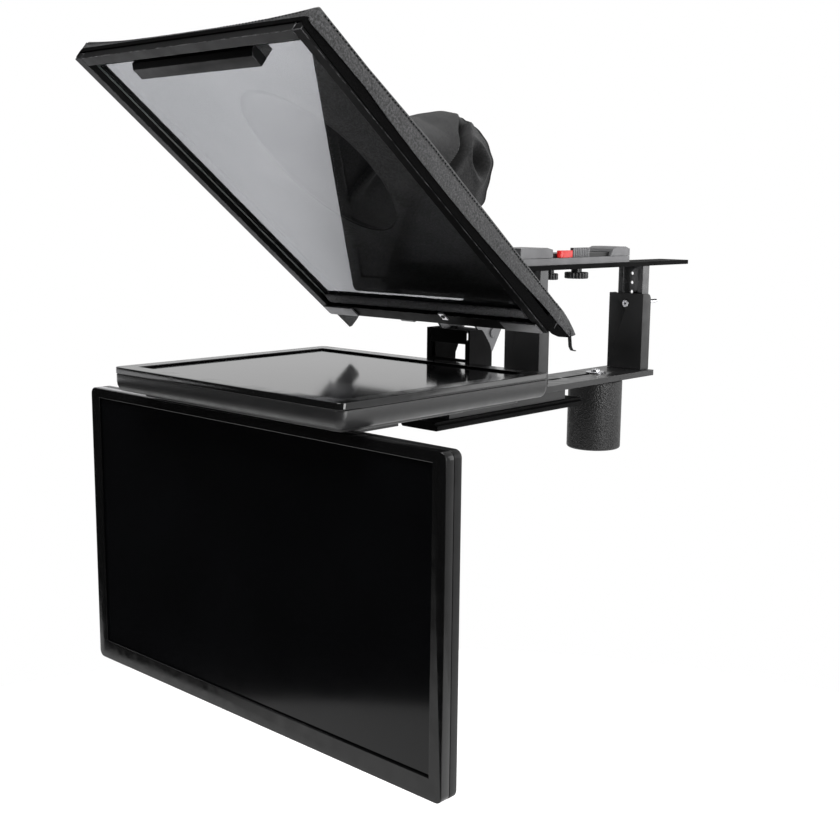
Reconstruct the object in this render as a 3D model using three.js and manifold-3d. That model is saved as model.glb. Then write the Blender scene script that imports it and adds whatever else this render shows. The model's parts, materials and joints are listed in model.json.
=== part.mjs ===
// A studio teleprompter: a hooded beamsplitter that tilts over a face-up prompter monitor, a talent
// monitor hanging below it, and a camera plate on two telescoping risers, all on one base rail.
// Millimetres, +Z up, -Y towards the talent. The origin is the centre of the tripod plate's underside.
import * as THREE from "three";
import { mergeVertices } from "three/addons/utils/BufferGeometryUtils.js";
import Module from "manifold-3d";

const wasm = await Module();
wasm.setup();

// ---- driving dimensions ------------------------------------------------------------------------
const GAP = 0.3; // clearance between pieces that meet

const TRIPOD_PLATE = { length: 296, halfWidth: 30, flange: 7.5, height: 10.5, lipHalfWidth: 26.5 };
const SPACER = { halfWidth: 22, halfLength: 118 };
const RAIL = { halfWidth: 37.5, front: -271, rear: 312.4, bottom: 27, top: 35 };

const RISER = {
  halfWidth: 28.8, depth: 21.1, wall: 3, top: 144.8, cornerRadius: 9,
  innerHalfWidth: 20.7, innerDepth: 16.7, innerSetback: 9.7, innerBottom: 74, innerWall: 3,
  recessHalfWidth: 12.6, recessDepth: 3.5, holePitch: 13.2, firstHole: 146.4, holeRadius: 2.5,
};
const FRONT_RISER_Y = 48.4;
const REAR_RISER_Y = 290.6;
const CLAMP = { height: 130, radius: 3, headRadius: 4.4, knobRadius: 10, knobLength: 13 };
const LIFT = 40; // how far the camera plate rises

const CAMERA_PLATE = { halfWidth: 25, front: 0, rear: 418, bottom: 184.5, top: 190.5 };
const CAMERA_SCREW_Y = 166;
const PLATE_KNOB_Y = 107;
const RELEASE = { halfWidth: 22, front: 14, rear: 262, bottom: 190.8, floor: 196.8, top: 210 };

const COUNTERWEIGHT = { radius: 38, length: 98, y: 220, travel: 28 };

const TILT = 38.1 * Math.PI / 180; // the glass above the horizontal
const PIVOT = { y: -50, z: 112 };
const FACE = -37.6; // talent-side face of the mirror frame, measured from the pivot along the normal
const FOOT = -108.6; // lower edge of the glass opening, measured from the pivot down the slope
const FRAME = { halfWidth: 175.7, rail: 11, depth: 14, top: 424, bottom: -36, bottomRailTop: -17.5 };
const GLASS = { halfWidth: 167.9, near: 8, far: 11, bottom: -8, top: 405 };
const HOOD = {
  near: 14.6, far: 30.2, farAtTop: 22.6, taperFrom: 300, wall: 4, halfWidth: 179, top: 424, bottom: -40,
};
const SLEEVE = { height: 308, mouth: -88, wall: 5 };
const BRACKET = {
  front: -97.6, cheekRear: -55.2, top: 117.5, halfWidth: 35, wall: 3, earInner: 24.1, earOuter: 28.1,
};
const ARM_PLATE = { inner: 28.4, outer: 31.4 };

const PROMPTER = {
  name: "prompter", width: 366.8, height: 319.2, corner: 8, opening: [328, 278], offset: 0,
  lip: 2, panel: 4.7, bezel: 7.2, straight: 8, curve: 12, inset: 9,
  tier: { width: 320, height: 272, depth: 33 },
  bulge: { width: 220, height: 172, depth: 46.2, offset: 17.7 },
  button: {
    on: "bezel", axis: "x", radius: 2.3, at: [100, -3.7], reach: [-184.6, -180.6], well: [-190, -178.9],
  },
};
const PROMPTER_CENTRE_Y = -293.7;
const PROMPTER_TOP = 84.5;
const TALENT = {
  name: "talent", width: 566.1, height: 335.7, corner: 8, opening: [533, 301], offset: 5.75,
  lip: 2.4, panel: 6, bezel: 11.7, straight: 8.6, curve: 3, inset: 3,
  tier: { width: 478, height: 256, depth: 32 },
  bulge: { width: 300, height: 190, depth: 47.3, offset: 0 },
  button: {
    on: "cover", axis: "y", radius: 3.2, at: [200, -16.6], reach: [-169.1, -165.1], well: [-180, -163.4],
  },
};
const TALENT_FACE_Y = -419.3;
const TALENT_CENTRE_Z = -119.7;
const ARM = { y: -352, halfWidth: 13.7, halfDepth: 8, radius: 8, top: 14 };
const CHANNEL = { halfWidth: 18.5, halfDepth: 13.5, bottom: -70, top: 12.7 };

// ---- materials ---------------------------------------------------------------------------------
function finish(color, roughness, metalness) {
  return new THREE.MeshStandardMaterial({ color, roughness, metalness });
}
const ANODISED = finish(0x1d1d1e, 0.45, 0.6);
const PAINTED = finish(0x161617, 0.6, 0.3);
const CRINKLE = finish(0x1a1a1b, 0.8, 0.2);
const BARE_METAL = finish(0x9a9a9a, 0.35, 0.9);
const GREY_METAL = finish(0x77787a, 0.5, 0.7);
const RED = finish(0xb8141a, 0.4, 0.1);
const FABRIC = finish(0x2c2c2e, 0.95, 0);
const TAPE = finish(0x0b0b0c, 1, 0);
const GLASS_TINT = finish(0x6f7274, 0.05, 0);
const GLOSS_PLASTIC = finish(0x111112, 0.25, 0);
const PLASTIC = finish(0x232324, 0.55, 0);
const SCREEN = finish(0x050506, 0.3, 0);
const BOARD = finish(0x1f4a2b, 0.6, 0);

// ---- geometry helpers --------------------------------------------------------------------------
function solid(geometry) {
  const plain = geometry.clone();
  plain.deleteAttribute("normal");
  plain.deleteAttribute("uv");
  const merged = mergeVertices(plain, 1e-4);
  const vertProperties = new Float32Array(merged.attributes.position.array);
  const triVerts = new Uint32Array(merged.index.array);
  return new wasm.Manifold(new wasm.Mesh({ numProp: 3, vertProperties, triVerts }));
}

function surface(manifold) {
  const mesh = manifold.getMesh();
  const geometry = new THREE.BufferGeometry();
  geometry.setAttribute("position", new THREE.BufferAttribute(new Float32Array(mesh.vertProperties), 3));
  geometry.setIndex(new THREE.BufferAttribute(new Uint32Array(mesh.triVerts), 1));
  geometry.computeVertexNormals();
  return geometry;
}

function cut(base, ...tools) {
  return surface(tools.reduce((rest, tool) => rest.subtract(solid(tool)), solid(base)));
}

function join(...pieces) {
  return surface(pieces.map(solid).reduce((sum, piece) => sum.add(piece)));
}

function block(x, y, z) {
  const geometry = new THREE.BoxGeometry(x[1] - x[0], y[1] - y[0], z[1] - z[0]);
  return geometry.translate((x[0] + x[1]) / 2, (y[0] + y[1]) / 2, (z[0] + z[1]) / 2);
}

function outline(points) {
  return new THREE.Shape(points.map(([a, b]) => new THREE.Vector2(a, b)));
}

// Extrudes a shape drawn in the (y, z) plane along X.
function alongX(shape, from, to, curveSegments = 8) {
  const geometry = new THREE.ExtrudeGeometry(shape, { depth: to - from, bevelEnabled: false, curveSegments });
  const axes = new THREE.Matrix4().makeBasis(
    new THREE.Vector3(0, 1, 0), new THREE.Vector3(0, 0, 1), new THREE.Vector3(1, 0, 0));
  return geometry.applyMatrix4(axes).translate(from, 0, 0);
}

// Extrudes a shape drawn in the (x, z) plane along Y.
function alongY(shape, from, to, curveSegments = 8) {
  const geometry = new THREE.ExtrudeGeometry(shape, { depth: to - from, bevelEnabled: false, curveSegments });
  return geometry.rotateX(Math.PI / 2).translate(0, to, 0);
}

// Extrudes a shape drawn in the (x, y) plane along Z.
function alongZ(shape, from, to, curveSegments = 8) {
  const geometry = new THREE.ExtrudeGeometry(shape, { depth: to - from, bevelEnabled: false, curveSegments });
  return geometry.translate(0, 0, from);
}

// A cylinder along one axis, from one coordinate to another, with its centre line through (a, b).
function rod(axis, radius, from, to, a, b, segments = 20) {
  const geometry = new THREE.CylinderGeometry(radius, radius, to - from, segments);
  const middle = (from + to) / 2;
  if (axis === "x") {
    return geometry.rotateZ(Math.PI / 2).translate(middle, a, b);
  }
  if (axis === "y") {
    return geometry.translate(a, middle, b);
  }
  return geometry.rotateX(Math.PI / 2).translate(a, b, middle);
}

// A grip with flutes round its rim, along Z from one height to another.
function flutedGrip(radius, from, to, flutes) {
  const steps = flutes * 4;
  const points = [];
  for (let i = 0; i < steps; i += 1) {
    const angle = i / steps * 2 * Math.PI;
    const reach = radius - (i % 4 === 0 ? 1.1 : 0);
    points.push([reach * Math.cos(angle), reach * Math.sin(angle)]);
  }
  return alongZ(outline(points), from, to);
}

function roundedRectangle(width, height, radius, x = 0, y = 0) {
  const [a, b] = [width / 2, height / 2];
  const shape = new THREE.Shape();
  shape.moveTo(x - a + radius, y - b);
  shape.lineTo(x + a - radius, y - b);
  shape.absarc(x + a - radius, y - b + radius, radius, -Math.PI / 2, 0);
  shape.lineTo(x + a, y + b - radius);
  shape.absarc(x + a - radius, y + b - radius, radius, 0, Math.PI / 2);
  shape.lineTo(x - a + radius, y + b);
  shape.absarc(x - a + radius, y + b - radius, radius, Math.PI / 2, Math.PI);
  shape.lineTo(x - a, y - b + radius);
  shape.absarc(x - a + radius, y - b + radius, radius, Math.PI, 1.5 * Math.PI);
  return shape;
}

const teleprompter = new THREE.Group();

function add(name, geometry, material, parent = teleprompter) {
  const mesh = new THREE.Mesh(geometry, material);
  mesh.name = name;
  parent.add(mesh);
  return mesh;
}

// ---- base rail, tripod plate and counterweight -------------------------------------------------
function railSlot(halfWidth, from, to) {
  const shape = roundedRectangle(2 * halfWidth, to - from, halfWidth - 0.01, 0, (from + to) / 2);
  return alongZ(shape, RAIL.bottom - 1, RAIL.top + 1, 5);
}

function buildBase() {
  const { length, halfWidth, flange, height, lipHalfWidth } = TRIPOD_PLATE;
  const edge = 2;
  const halfSection = [
    [halfWidth - edge, 0], [halfWidth, edge], [halfWidth, flange - 1.5], [lipHalfWidth - 1.5, flange],
    [lipHalfWidth - 1.5, flange + 0.8], [lipHalfWidth, flange + 0.8], [lipHalfWidth, height],
  ];
  const section = [...halfSection, ...halfSection.map(([x, z]) => [-x, z]).reverse()];
  add("tripod_plate", alongY(outline(section), -length / 2, length / 2), GREY_METAL);

  const spacer = block([-SPACER.halfWidth, SPACER.halfWidth], [-SPACER.halfLength, SPACER.halfLength],
    [height + GAP, RAIL.bottom - GAP]);
  const screwPlaces = { spacer_screw_front: -107, spacer_screw_rear: 86 };
  const screwRadius = 4;
  const holes = Object.values(screwPlaces).map((y) =>
    rod("z", screwRadius + GAP, height, RAIL.top + 1, 0, y, 16));
  add("rail_spacer", cut(spacer, ...holes), PAINTED);
  for (const [name, y] of Object.entries(screwPlaces)) {
    const shank = rod("z", screwRadius, height + GAP, RAIL.top + 1, 0, y, 16);
    const head = rod("z", 7, RAIL.top + GAP, RAIL.top + 3.6, 0, y, 16);
    add(name, join(shank, head), BARE_METAL);
  }

  const bar = block([-RAIL.halfWidth, RAIL.halfWidth], [RAIL.front, RAIL.rear], [RAIL.bottom, RAIL.top]);
  const slots = [[-30, 60], [106, 135], [142, 232]].map(([from, to]) => railSlot(4.4, from, to));
  const bracketHoles = [-255, -222].map((y) => rod("z", 3.3, RAIL.bottom - 1, RAIL.top + 1, 0, y, 14));
  add("base_rail", cut(bar, ...slots, ...holes, ...bracketHoles), ANODISED);

  const { radius, length: weightLength, y } = COUNTERWEIGHT;
  const top = RAIL.bottom - GAP;
  const chamfer = 2.5;
  const boltRadius = 4;
  const profile = [
    [0, top - weightLength], [radius - chamfer, top - weightLength],
    [radius, top - weightLength + chamfer], [radius, top - chamfer], [radius - chamfer, top],
    [boltRadius + GAP, top], [boltRadius + GAP, top - 30], [0, top - 30],
  ];
  const weight = new THREE.LatheGeometry(profile.map(([r, h]) => new THREE.Vector2(r, h)), 40);
  add("counterweight", weight.rotateX(Math.PI / 2).translate(0, y, 0), CRINKLE);
  const boltShank = rod("z", boltRadius, top - 28, RAIL.top + 1, 0, y, 16);
  const washer = rod("z", 14, RAIL.top + GAP, RAIL.top + 1.8, 0, y, 28);
  const boltHead = rod("z", 6, RAIL.top + 1, RAIL.top + 5, 0, y, 16);
  add("counterweight_bolt", join(boltShank, washer, boltHead), BARE_METAL);
}

// ---- telescoping risers ------------------------------------------------------------------------
function outerRiser(front) {
  const { halfWidth, depth, wall, top, cornerRadius } = RISER;
  const side = new THREE.Shape();
  side.moveTo(front, RAIL.top + GAP);
  side.lineTo(front + depth, RAIL.top + GAP);
  side.lineTo(front + depth, top - cornerRadius);
  side.absarc(front + depth - cornerRadius, top - cornerRadius, cornerRadius, 0, Math.PI / 2);
  side.lineTo(front, top);
  const body = alongX(side, -halfWidth, halfWidth, 6);
  const foot = 3.5;
  const channel = block([-halfWidth + wall, halfWidth - wall], [front + wall, front + depth + 1],
    [RAIL.top + GAP + foot, top + 1]);
  const clampHole = rod("y", CLAMP.radius + 0.4, front - 1, front + depth + 1, 0, CLAMP.height, 16);
  return cut(body, channel, clampHole);
}

function innerRiser(front) {
  const { innerHalfWidth: w, innerDepth: d, innerWall: t, recessHalfWidth: r, recessDepth } = RISER;
  const floor = recessDepth + t;
  const section = outline([
    [-w, 0], [-r, 0], [-r, recessDepth], [r, recessDepth], [r, 0], [w, 0],
    [w, d], [w - t, d], [w - t, floor], [t - w, floor], [t - w, d], [-w, d],
  ]);
  const body = alongZ(section, RISER.innerBottom, CAMERA_PLATE.bottom - GAP);
  const holes = [0, 1, 2].map((i) =>
    rod("y", RISER.holeRadius, -1, d + 1, 0, RISER.firstHole + i * RISER.holePitch, 14));
  const slotHalfWidth = CLAMP.radius + 0.5;
  const slotHeight = LIFT + 2 * slotHalfWidth + 1;
  const slot = alongY(roundedRectangle(2 * slotHalfWidth, slotHeight, slotHalfWidth - 0.01,
    0, CLAMP.height - LIFT / 2), -1, d + 1, 5);
  return cut(body, ...holes, slot).translate(0, front + RISER.innerSetback, 0);
}

function clampScrew(front, tail) {
  const { height, radius, headRadius, knobRadius, knobLength } = CLAMP;
  const knobFront = front + RISER.innerSetback + RISER.innerDepth + 1.2;
  const head = rod("y", headRadius, front - 2.4, front - GAP, 0, height, 18);
  const shank = rod("y", radius, front - 1, tail, 0, height, 14);
  const grip = flutedGrip(knobRadius, -knobLength, 0, 12).rotateX(Math.PI / 2);
  return join(head, shank, grip.translate(0, knobFront, height));
}

function buildRisers() {
  const risers = { front: [FRONT_RISER_Y, 104], rear: [REAR_RISER_Y, 372] };
  for (const [name, [front, tail]] of Object.entries(risers)) {
    add(`${name}_riser_outer`, outerRiser(front), PAINTED);
    add(`${name}_riser_inner`, innerRiser(front), ANODISED);
    add(`${name}_clamp_screw`, clampScrew(front, tail), ANODISED);
  }
}

// ---- camera plate and quick release ------------------------------------------------------------
function plateScrew(y, gripRadius, gripLength, flutes, shankRadius, shankTop) {
  const neckTop = CAMERA_PLATE.bottom - GAP;
  const gripTop = neckTop - 5.5;
  const grip = flutedGrip(gripRadius, gripTop - gripLength, gripTop, flutes).translate(0, y, 0);
  const neck = rod("z", gripRadius * 0.45, gripTop - 1, neckTop, 0, y, 18);
  const shank = rod("z", shankRadius, neckTop - 1, shankTop, 0, y, 16);
  return join(grip, neck, shank);
}

function buildCameraPlate() {
  const { halfWidth, front, rear, bottom, top } = CAMERA_PLATE;
  const barShape = roundedRectangle(2 * halfWidth, rear - front, 2.5, 0, (front + rear) / 2);
  const bar = alongZ(barShape, bottom, top, 3);
  const cameraShank = 4.7;
  const knobShank = 3;
  const slot = alongZ(roundedRectangle(2 * cameraShank + 1.2, 90, cameraShank + 0.5, 0, CAMERA_SCREW_Y + 18),
    bottom - 1, top + 1, 6);
  const knobHole = rod("z", knobShank + GAP, bottom - 1, top + 1, 0, PLATE_KNOB_Y, 16);
  add("camera_plate", cut(bar, slot, knobHole), ANODISED);
  add("camera_screw", plateScrew(CAMERA_SCREW_Y, 16.3, 8.6, 20, cameraShank, RELEASE.floor - 1), ANODISED);
  add("front_plate_screw", plateScrew(PLATE_KNOB_Y, 10.5, 8.4, 14, knobShank, RELEASE.floor - 1), ANODISED);
}

function buildQuickRelease() {
  const { halfWidth: w, front, rear, bottom, floor, top } = RELEASE;
  const lipHeight = 3;
  const slideHalfWidth = w - 5.6;
  const lip = (side) => block(
    side > 0 ? [w - 4.4, w] : [-w, 4.4 - w], [front, rear], [floor - 1, floor + lipHeight]);
  const base = join(block([-w, w], [front, rear], [bottom, floor]), lip(1), lip(-1));
  const screwHoles = [
    rod("z", 5, bottom - 1, floor - 0.8, 0, CAMERA_SCREW_Y, 16),
    rod("z", 3.3, bottom - 1, floor - 0.8, 0, PLATE_KNOB_Y, 16),
  ];
  add("release_base", cut(base, ...screwHoles), GREY_METAL);

  const plateTop = top - 4.5;
  const slide = block([-slideHalfWidth, slideHalfWidth], [front + 4, rear - 8], [floor + GAP, plateTop]);
  const slidePocket = alongZ(roundedRectangle(8, 60, 3.9, 0, 190), plateTop - 2, plateTop + 1, 5);
  add("release_slide_plate", cut(slide, slidePocket), PAINTED);

  const jawBottom = floor + lipHeight + GAP;
  const jawInner = slideHalfWidth + GAP;
  const frontJaw = outline([[front, jawBottom], [82, jawBottom], [82, 211], [70, 213.4], [front, 213.4]]);
  const roof = plateTop + GAP;
  const jawCavity = block([-jawInner, jawInner], [front - 1, 83], [jawBottom - 1, roof]);
  add("release_front_jaw", cut(alongX(frontJaw, -w, w), jawCavity), GREY_METAL);

  let clamp = block([jawInner, w], [127, 164], [jawBottom, 212.6]);
  for (let y = 131; y < 163; y += 4) {
    clamp = cut(clamp, block([w - 0.8, w + 1], [y, y + 1.4], [jawBottom - 1, 213]));
  }
  add("release_clamp_jaw", clamp, BARE_METAL);

  const stopShape = outline([
    [216, jawBottom], [262, jawBottom], [262, 209.5], [252, 212.6], [232, 212.6], [221, 209.5],
  ]);
  const stopCavity = block([-jawInner, jawInner], [215, rear - 8 + 1.4], [jawBottom - 1, roof]);
  add("release_end_stop", cut(alongX(stopShape, -w, w), stopCavity), GREY_METAL);

  const leverPivot = { x: w - 2.3, y: 98 };
  const leverBottom = jawBottom;
  const handleShape = outline([
    [w - 4.2, 96.2], [w + 1, 96.2], [w + 3.6, 100], [w + 3.6, 121], [w, 121], [w - 4.2, 104],
  ]);
  const handle = alongZ(handleShape, leverBottom, 209.6);
  const hub = rod("z", 2.8, leverBottom, 209.6, leverPivot.x, leverPivot.y, 16);
  add("release_lever", join(handle, hub), RED);
}

// ---- mirror: bracket, arms, frame, glass and hood ----------------------------------------------
// A folded plate: a windowed front, an outer cheek each side, and inner ears that carry the pivot.
function buildMirrorBracket() {
  const { front, wall, halfWidth, top, cheekRear, earInner, earOuter } = BRACKET;
  const floor = RAIL.top + GAP;
  const plate = block([-halfWidth, halfWidth], [front, front + wall], [floor, top]);
  const window = block([-28.4, 28.4], [front - 1, front + wall + 1], [82, 100.5]);
  const passage = (side) => block([27.9 * side, 32 * side].sort((a, b) => a - b),
    [front - 1, front + wall + 1], [104, top + 1]);
  const cheek = outline([
    [front, floor], [cheekRear, floor], [cheekRear, 88.7], [-58.3, 97], [-63.3, 104.1], [-68.4, 110.5],
    [-73, 115.9], [-76, top], [front, top],
  ]);
  const ear = new THREE.Shape();
  ear.moveTo(front, floor);
  ear.lineTo(-57, floor);
  ear.lineTo(-55, 84);
  ear.lineTo(-43.2, 106);
  ear.absarc(PIVOT.y, PIVOT.z, 8, -0.5, Math.PI * 0.7);
  ear.lineTo(front, 102);
  const pivotHole = rod("x", 4 + GAP, -60, 60, PIVOT.y, PIVOT.z, 20);
  const body = join(
    cut(plate, window, passage(1), passage(-1)),
    alongX(cheek, halfWidth - wall, halfWidth),
    alongX(cheek, -halfWidth, wall - halfWidth),
    alongX(ear, earInner, earOuter, 6),
    alongX(ear, -earOuter, -earInner, 6),
    block([-halfWidth, halfWidth], [front, cheekRear], [floor, floor + wall]),
  );
  add("mirror_bracket", cut(body, window, pivotHole), PAINTED);

  const face = ARM_PLATE.outer + GAP;
  const boltShank = rod("x", 4, -face - 4.6, face + 0.5, PIVOT.y, PIVOT.z, 20);
  const boltHead = rod("x", 6, face, face + 2.2, PIVOT.y, PIVOT.z, 20);
  add("mirror_pivot_bolt", join(boltShank, boltHead), BARE_METAL);
  const nut = rod("x", 6.6, -face - 4.4, -face, PIVOT.y, PIVOT.z, 6);
  const bore = rod("x", 4 + GAP, -60, -20, PIVOT.y, PIVOT.z, 20);
  add("mirror_pivot_nut", cut(nut, bore), BARE_METAL);
}

// The tilting group's own frame: Y runs down the slope, Z along the normal towards the camera.
function slope(s) {
  return FOOT - s;
}

function normal(n) {
  return FACE + n;
}

function buildMirrorFrame(mirror) {
  const { halfWidth, rail, depth, top, bottom, bottomRailTop } = FRAME;
  const [near, far] = [normal(0), normal(depth)];
  const grooveDepth = 4;
  for (const [name, side] of [["left", -1], ["right", 1]]) {
    const section = [
      [halfWidth, near], [halfWidth, far], [halfWidth - rail, far],
      [halfWidth - rail, normal(GLASS.far + GAP)], [halfWidth - rail + grooveDepth, normal(GLASS.far + GAP)],
      [halfWidth - rail + grooveDepth, normal(GLASS.near - GAP)],
      [halfWidth - rail, normal(GLASS.near - GAP)],
      [halfWidth - rail, near],
    ].map(([x, z]) => [side * x, z]);
    add(`frame_${name}_rail`, alongY(outline(section), slope(top), slope(bottom)), ANODISED, mirror);
  }
  const cross = halfWidth - rail - GAP;
  const topRail = block([-cross, cross], [slope(top), slope(top - rail)], [near, far]);
  add("frame_top_rail", topRail, ANODISED, mirror);
  const bottomRail = block([-cross, cross], [slope(bottomRailTop), slope(bottom)], [near, far]);
  add("frame_bottom_rail", bottomRail, ANODISED, mirror);
  const glass = block([-GLASS.halfWidth, GLASS.halfWidth], [slope(GLASS.top), slope(GLASS.bottom)],
    [normal(GLASS.near), normal(GLASS.far)]);
  add("beamsplitter_glass", glass, GLASS_TINT, mirror);

  const bar = outline([[slope(389.5), normal(-2.6)], [slope(389.5), normal(GLASS.near - GAP)],
    [slope(407.5), normal(GLASS.near - GAP)], [slope(407.5), normal(2)], [slope(403), normal(-2.6)]]);
  add("glass_clamp_bar", alongX(bar, -94, 94), PLASTIC, mirror);
  const seal = block([-158, 158], [slope(-3), slope(-17.2)], [normal(3), normal(GLASS.near - GAP)]);
  add("bottom_light_seal", seal, TAPE, mirror);
  for (const [name, side] of [["left", -1], ["right", 1]]) {
    const ends = [119 * side, 170 * side].sort((a, b) => a - b);
    add(`corner_plate_${name}`, block(ends, [slope(-17.6), slope(-34)], [normal(-2.3), normal(-GAP)]),
      GREY_METAL, mirror);
  }

  const tape = 1.2;
  const inner = halfWidth + GAP;
  const outer = inner + tape;
  const [tapeTop, tapeUnder, tapeEnd] = [slope(top + GAP + tape), slope(top + GAP), slope(bottom + 4)];
  const loop = outline([
    [-outer, tapeTop], [outer, tapeTop], [outer, tapeEnd], [inner, tapeEnd],
    [inner, tapeUnder], [-inner, tapeUnder], [-inner, tapeEnd], [-outer, tapeEnd],
  ]);
  add("hook_tape", alongZ(loop, normal(7.4), normal(depth)), TAPE, mirror);
}

// Two hanging gussets, each a triangle round the pivot with a neck and a foot under the bottom rail.
function buildMirrorArms(mirror) {
  const railFace = slope(FRAME.bottom) + GAP;
  const level = ([y, z]) => {
    const [dy, dz] = [y - PIVOT.y, z - PIVOT.z];
    return [dy * Math.cos(TILT) - dz * Math.sin(TILT), dy * Math.sin(TILT) + dz * Math.cos(TILT)];
  };
  const shape = outline([
    [railFace, normal(0.6)], [railFace + 3.4, normal(0.6)], level([-113, 129.5]), level([-97, 128.5]),
    level([-84, 124]), level([-54.5, 89.2]), level([-51.7, 88.2]), level([-49.8, 89.2]), level([-31, 119]),
    level([-36, 126]), level([-100, 141.5]), [railFace + 3.4, normal(13.4)], [railFace, normal(13.4)],
  ]);
  const hole = rod("x", 4 + GAP, -70, 70, 0, 0, 20);
  const { inner, outer } = ARM_PLATE;
  for (const [name, side] of [["left", -1], ["right", 1]]) {
    const span = (from, to) => [from * side, to * side].sort((a, b) => a - b);
    const foot = block(span(inner, inner + 22), [railFace, railFace + 3.4], [normal(0.6), normal(13.4)]);
    const gusset = join(alongX(shape, ...span(inner, outer), 6), foot);
    add(`mirror_arm_${name}`, cut(gusset, hole), GREY_METAL, mirror);
  }
}

function buildHood(mirror) {
  const { near, far, farAtTop, taperFrom, wall, halfWidth, top, bottom } = HOOD;
  // Each side band runs on below the hood as a flap; the two were photographed lying differently.
  const band = (flap) => outline([
    [slope(top - 4), normal(near)], [slope(top), normal(near + 4)], [slope(top), normal(farAtTop)],
    [slope(taperFrom), normal(far)], [slope(bottom + 3), normal(far)],
    ...flap.map(([s, n]) => [slope(s), normal(n)]), [slope(bottom + 3), normal(near)],
  ]);
  const leftFlap = [[-60, 31.5], [-82.9, 31.2], [-79.5, 7.1], [-44.6, 7.6], [-37.2, 10]];
  const rightFlap = [[-56.8, 32], [-77.6, 27.2], [-71, 18.6], [-53.3, 7.3], [-41, 3], [-37.2, 3]];
  add("hood_left_panel", alongX(band(leftFlap), -halfWidth, wall - halfWidth), FABRIC, mirror);
  add("hood_right_panel", alongX(band(rightFlap), halfWidth - wall, halfWidth), FABRIC, mirror);
  const span = halfWidth - wall - GAP;
  const topPanel = block([-span, span], [slope(top), slope(top - wall)], [normal(near), normal(farAtTop)]);
  add("hood_top_panel", topPanel, FABRIC, mirror);
  const foot = [slope(bottom + wall), slope(bottom)];
  const bottomPanel = block([-span, span], foot, [normal(near), normal(far)]);
  add("hood_bottom_panel", bottomPanel, FABRIC, mirror);

  // The sleeve's axis is level at rest, so its pieces are placed in a group turned back by the tilt.
  const level = new THREE.Matrix4().makeRotationX(TILT);
  const axisHeight = SLEEVE.height - PIVOT.z;
  const mouth = SLEEVE.mouth - PIVOT.y;
  const root = mouth - 420;
  const radii = [[0, 86], [70, 82], [240, 72], [358, 70], [380, 70], [408, 63], [420, 61]];
  const sweep = (offset, first, last) => {
    const wallPoints = radii.map(([along, r], i) => {
      const reach = i === 0 ? first : i === radii.length - 1 ? last : along;
      return new THREE.Vector2(r - offset, reach);
    });
    const points = [new THREE.Vector2(0, wallPoints[0].y), ...wallPoints, new THREE.Vector2(0, last)];
    const geometry = new THREE.LatheGeometry(points, 28).translate(0, root, axisHeight);
    return geometry.applyMatrix4(level);
  };
  const outer = sweep(0, 0, 420);
  const bore = sweep(SLEEVE.wall, -20, 440);
  // The back bends where the hood starts to taper; rise is its height there on each line of the outline.
  const taper = (far - farAtTop) / (top - taperFrom);
  const backLine = (rise, first, last) => [
    [slope(first), normal(far + rise - taper * (first - taperFrom))],
    [slope(taperFrom), normal(far + rise)], [slope(last), normal(far + rise)],
  ];
  const insideHood = alongX(outline([
    ...backLine(2 * GAP + wall, 800, -400), [slope(-400), -900], [slope(800), -900],
  ]), -400, 400);
  add("lens_sleeve", cut(outer, bore, insideHood), FABRIC, mirror);

  const backShape = outline([...backLine(GAP, top, bottom), ...backLine(GAP + wall, top, bottom).reverse()]);
  const panel = alongX(backShape, -halfWidth, halfWidth);
  add("hood_back_panel", cut(panel, sweep(SLEEVE.wall, -20, 440)), FABRIC, mirror);
}

function buildMirror() {
  buildMirrorBracket();
  const mirror = new THREE.Group();
  mirror.position.set(0, PIVOT.y, PIVOT.z);
  mirror.rotation.x = -TILT;
  teleprompter.add(mirror);
  buildMirrorArms(mirror);
  buildMirrorFrame(mirror);
  buildHood(mirror);
}

// ---- monitors ----------------------------------------------------------------------------------
// A slab with a rounded lower edge, flat on top at z = top, tapering in below z = shoulder.
function taperedSlab(width, height, corner, top, shoulder, bottom, inset) {
  const drop = shoulder - bottom;
  const shape = roundedRectangle(width - 2 * inset, height - 2 * inset, Math.max(corner - inset, 0.8));
  const geometry = new THREE.ExtrudeGeometry(shape, {
    depth: top - shoulder + 20, bevelEnabled: true, bevelThickness: drop, bevelSize: inset,
    bevelSegments: 4, curveSegments: 4,
  });
  const roof = block([-width, width], [-height, height], [top, top + drop + 60]);
  return cut(geometry.translate(0, 0, shoulder), roof);
}

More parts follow.
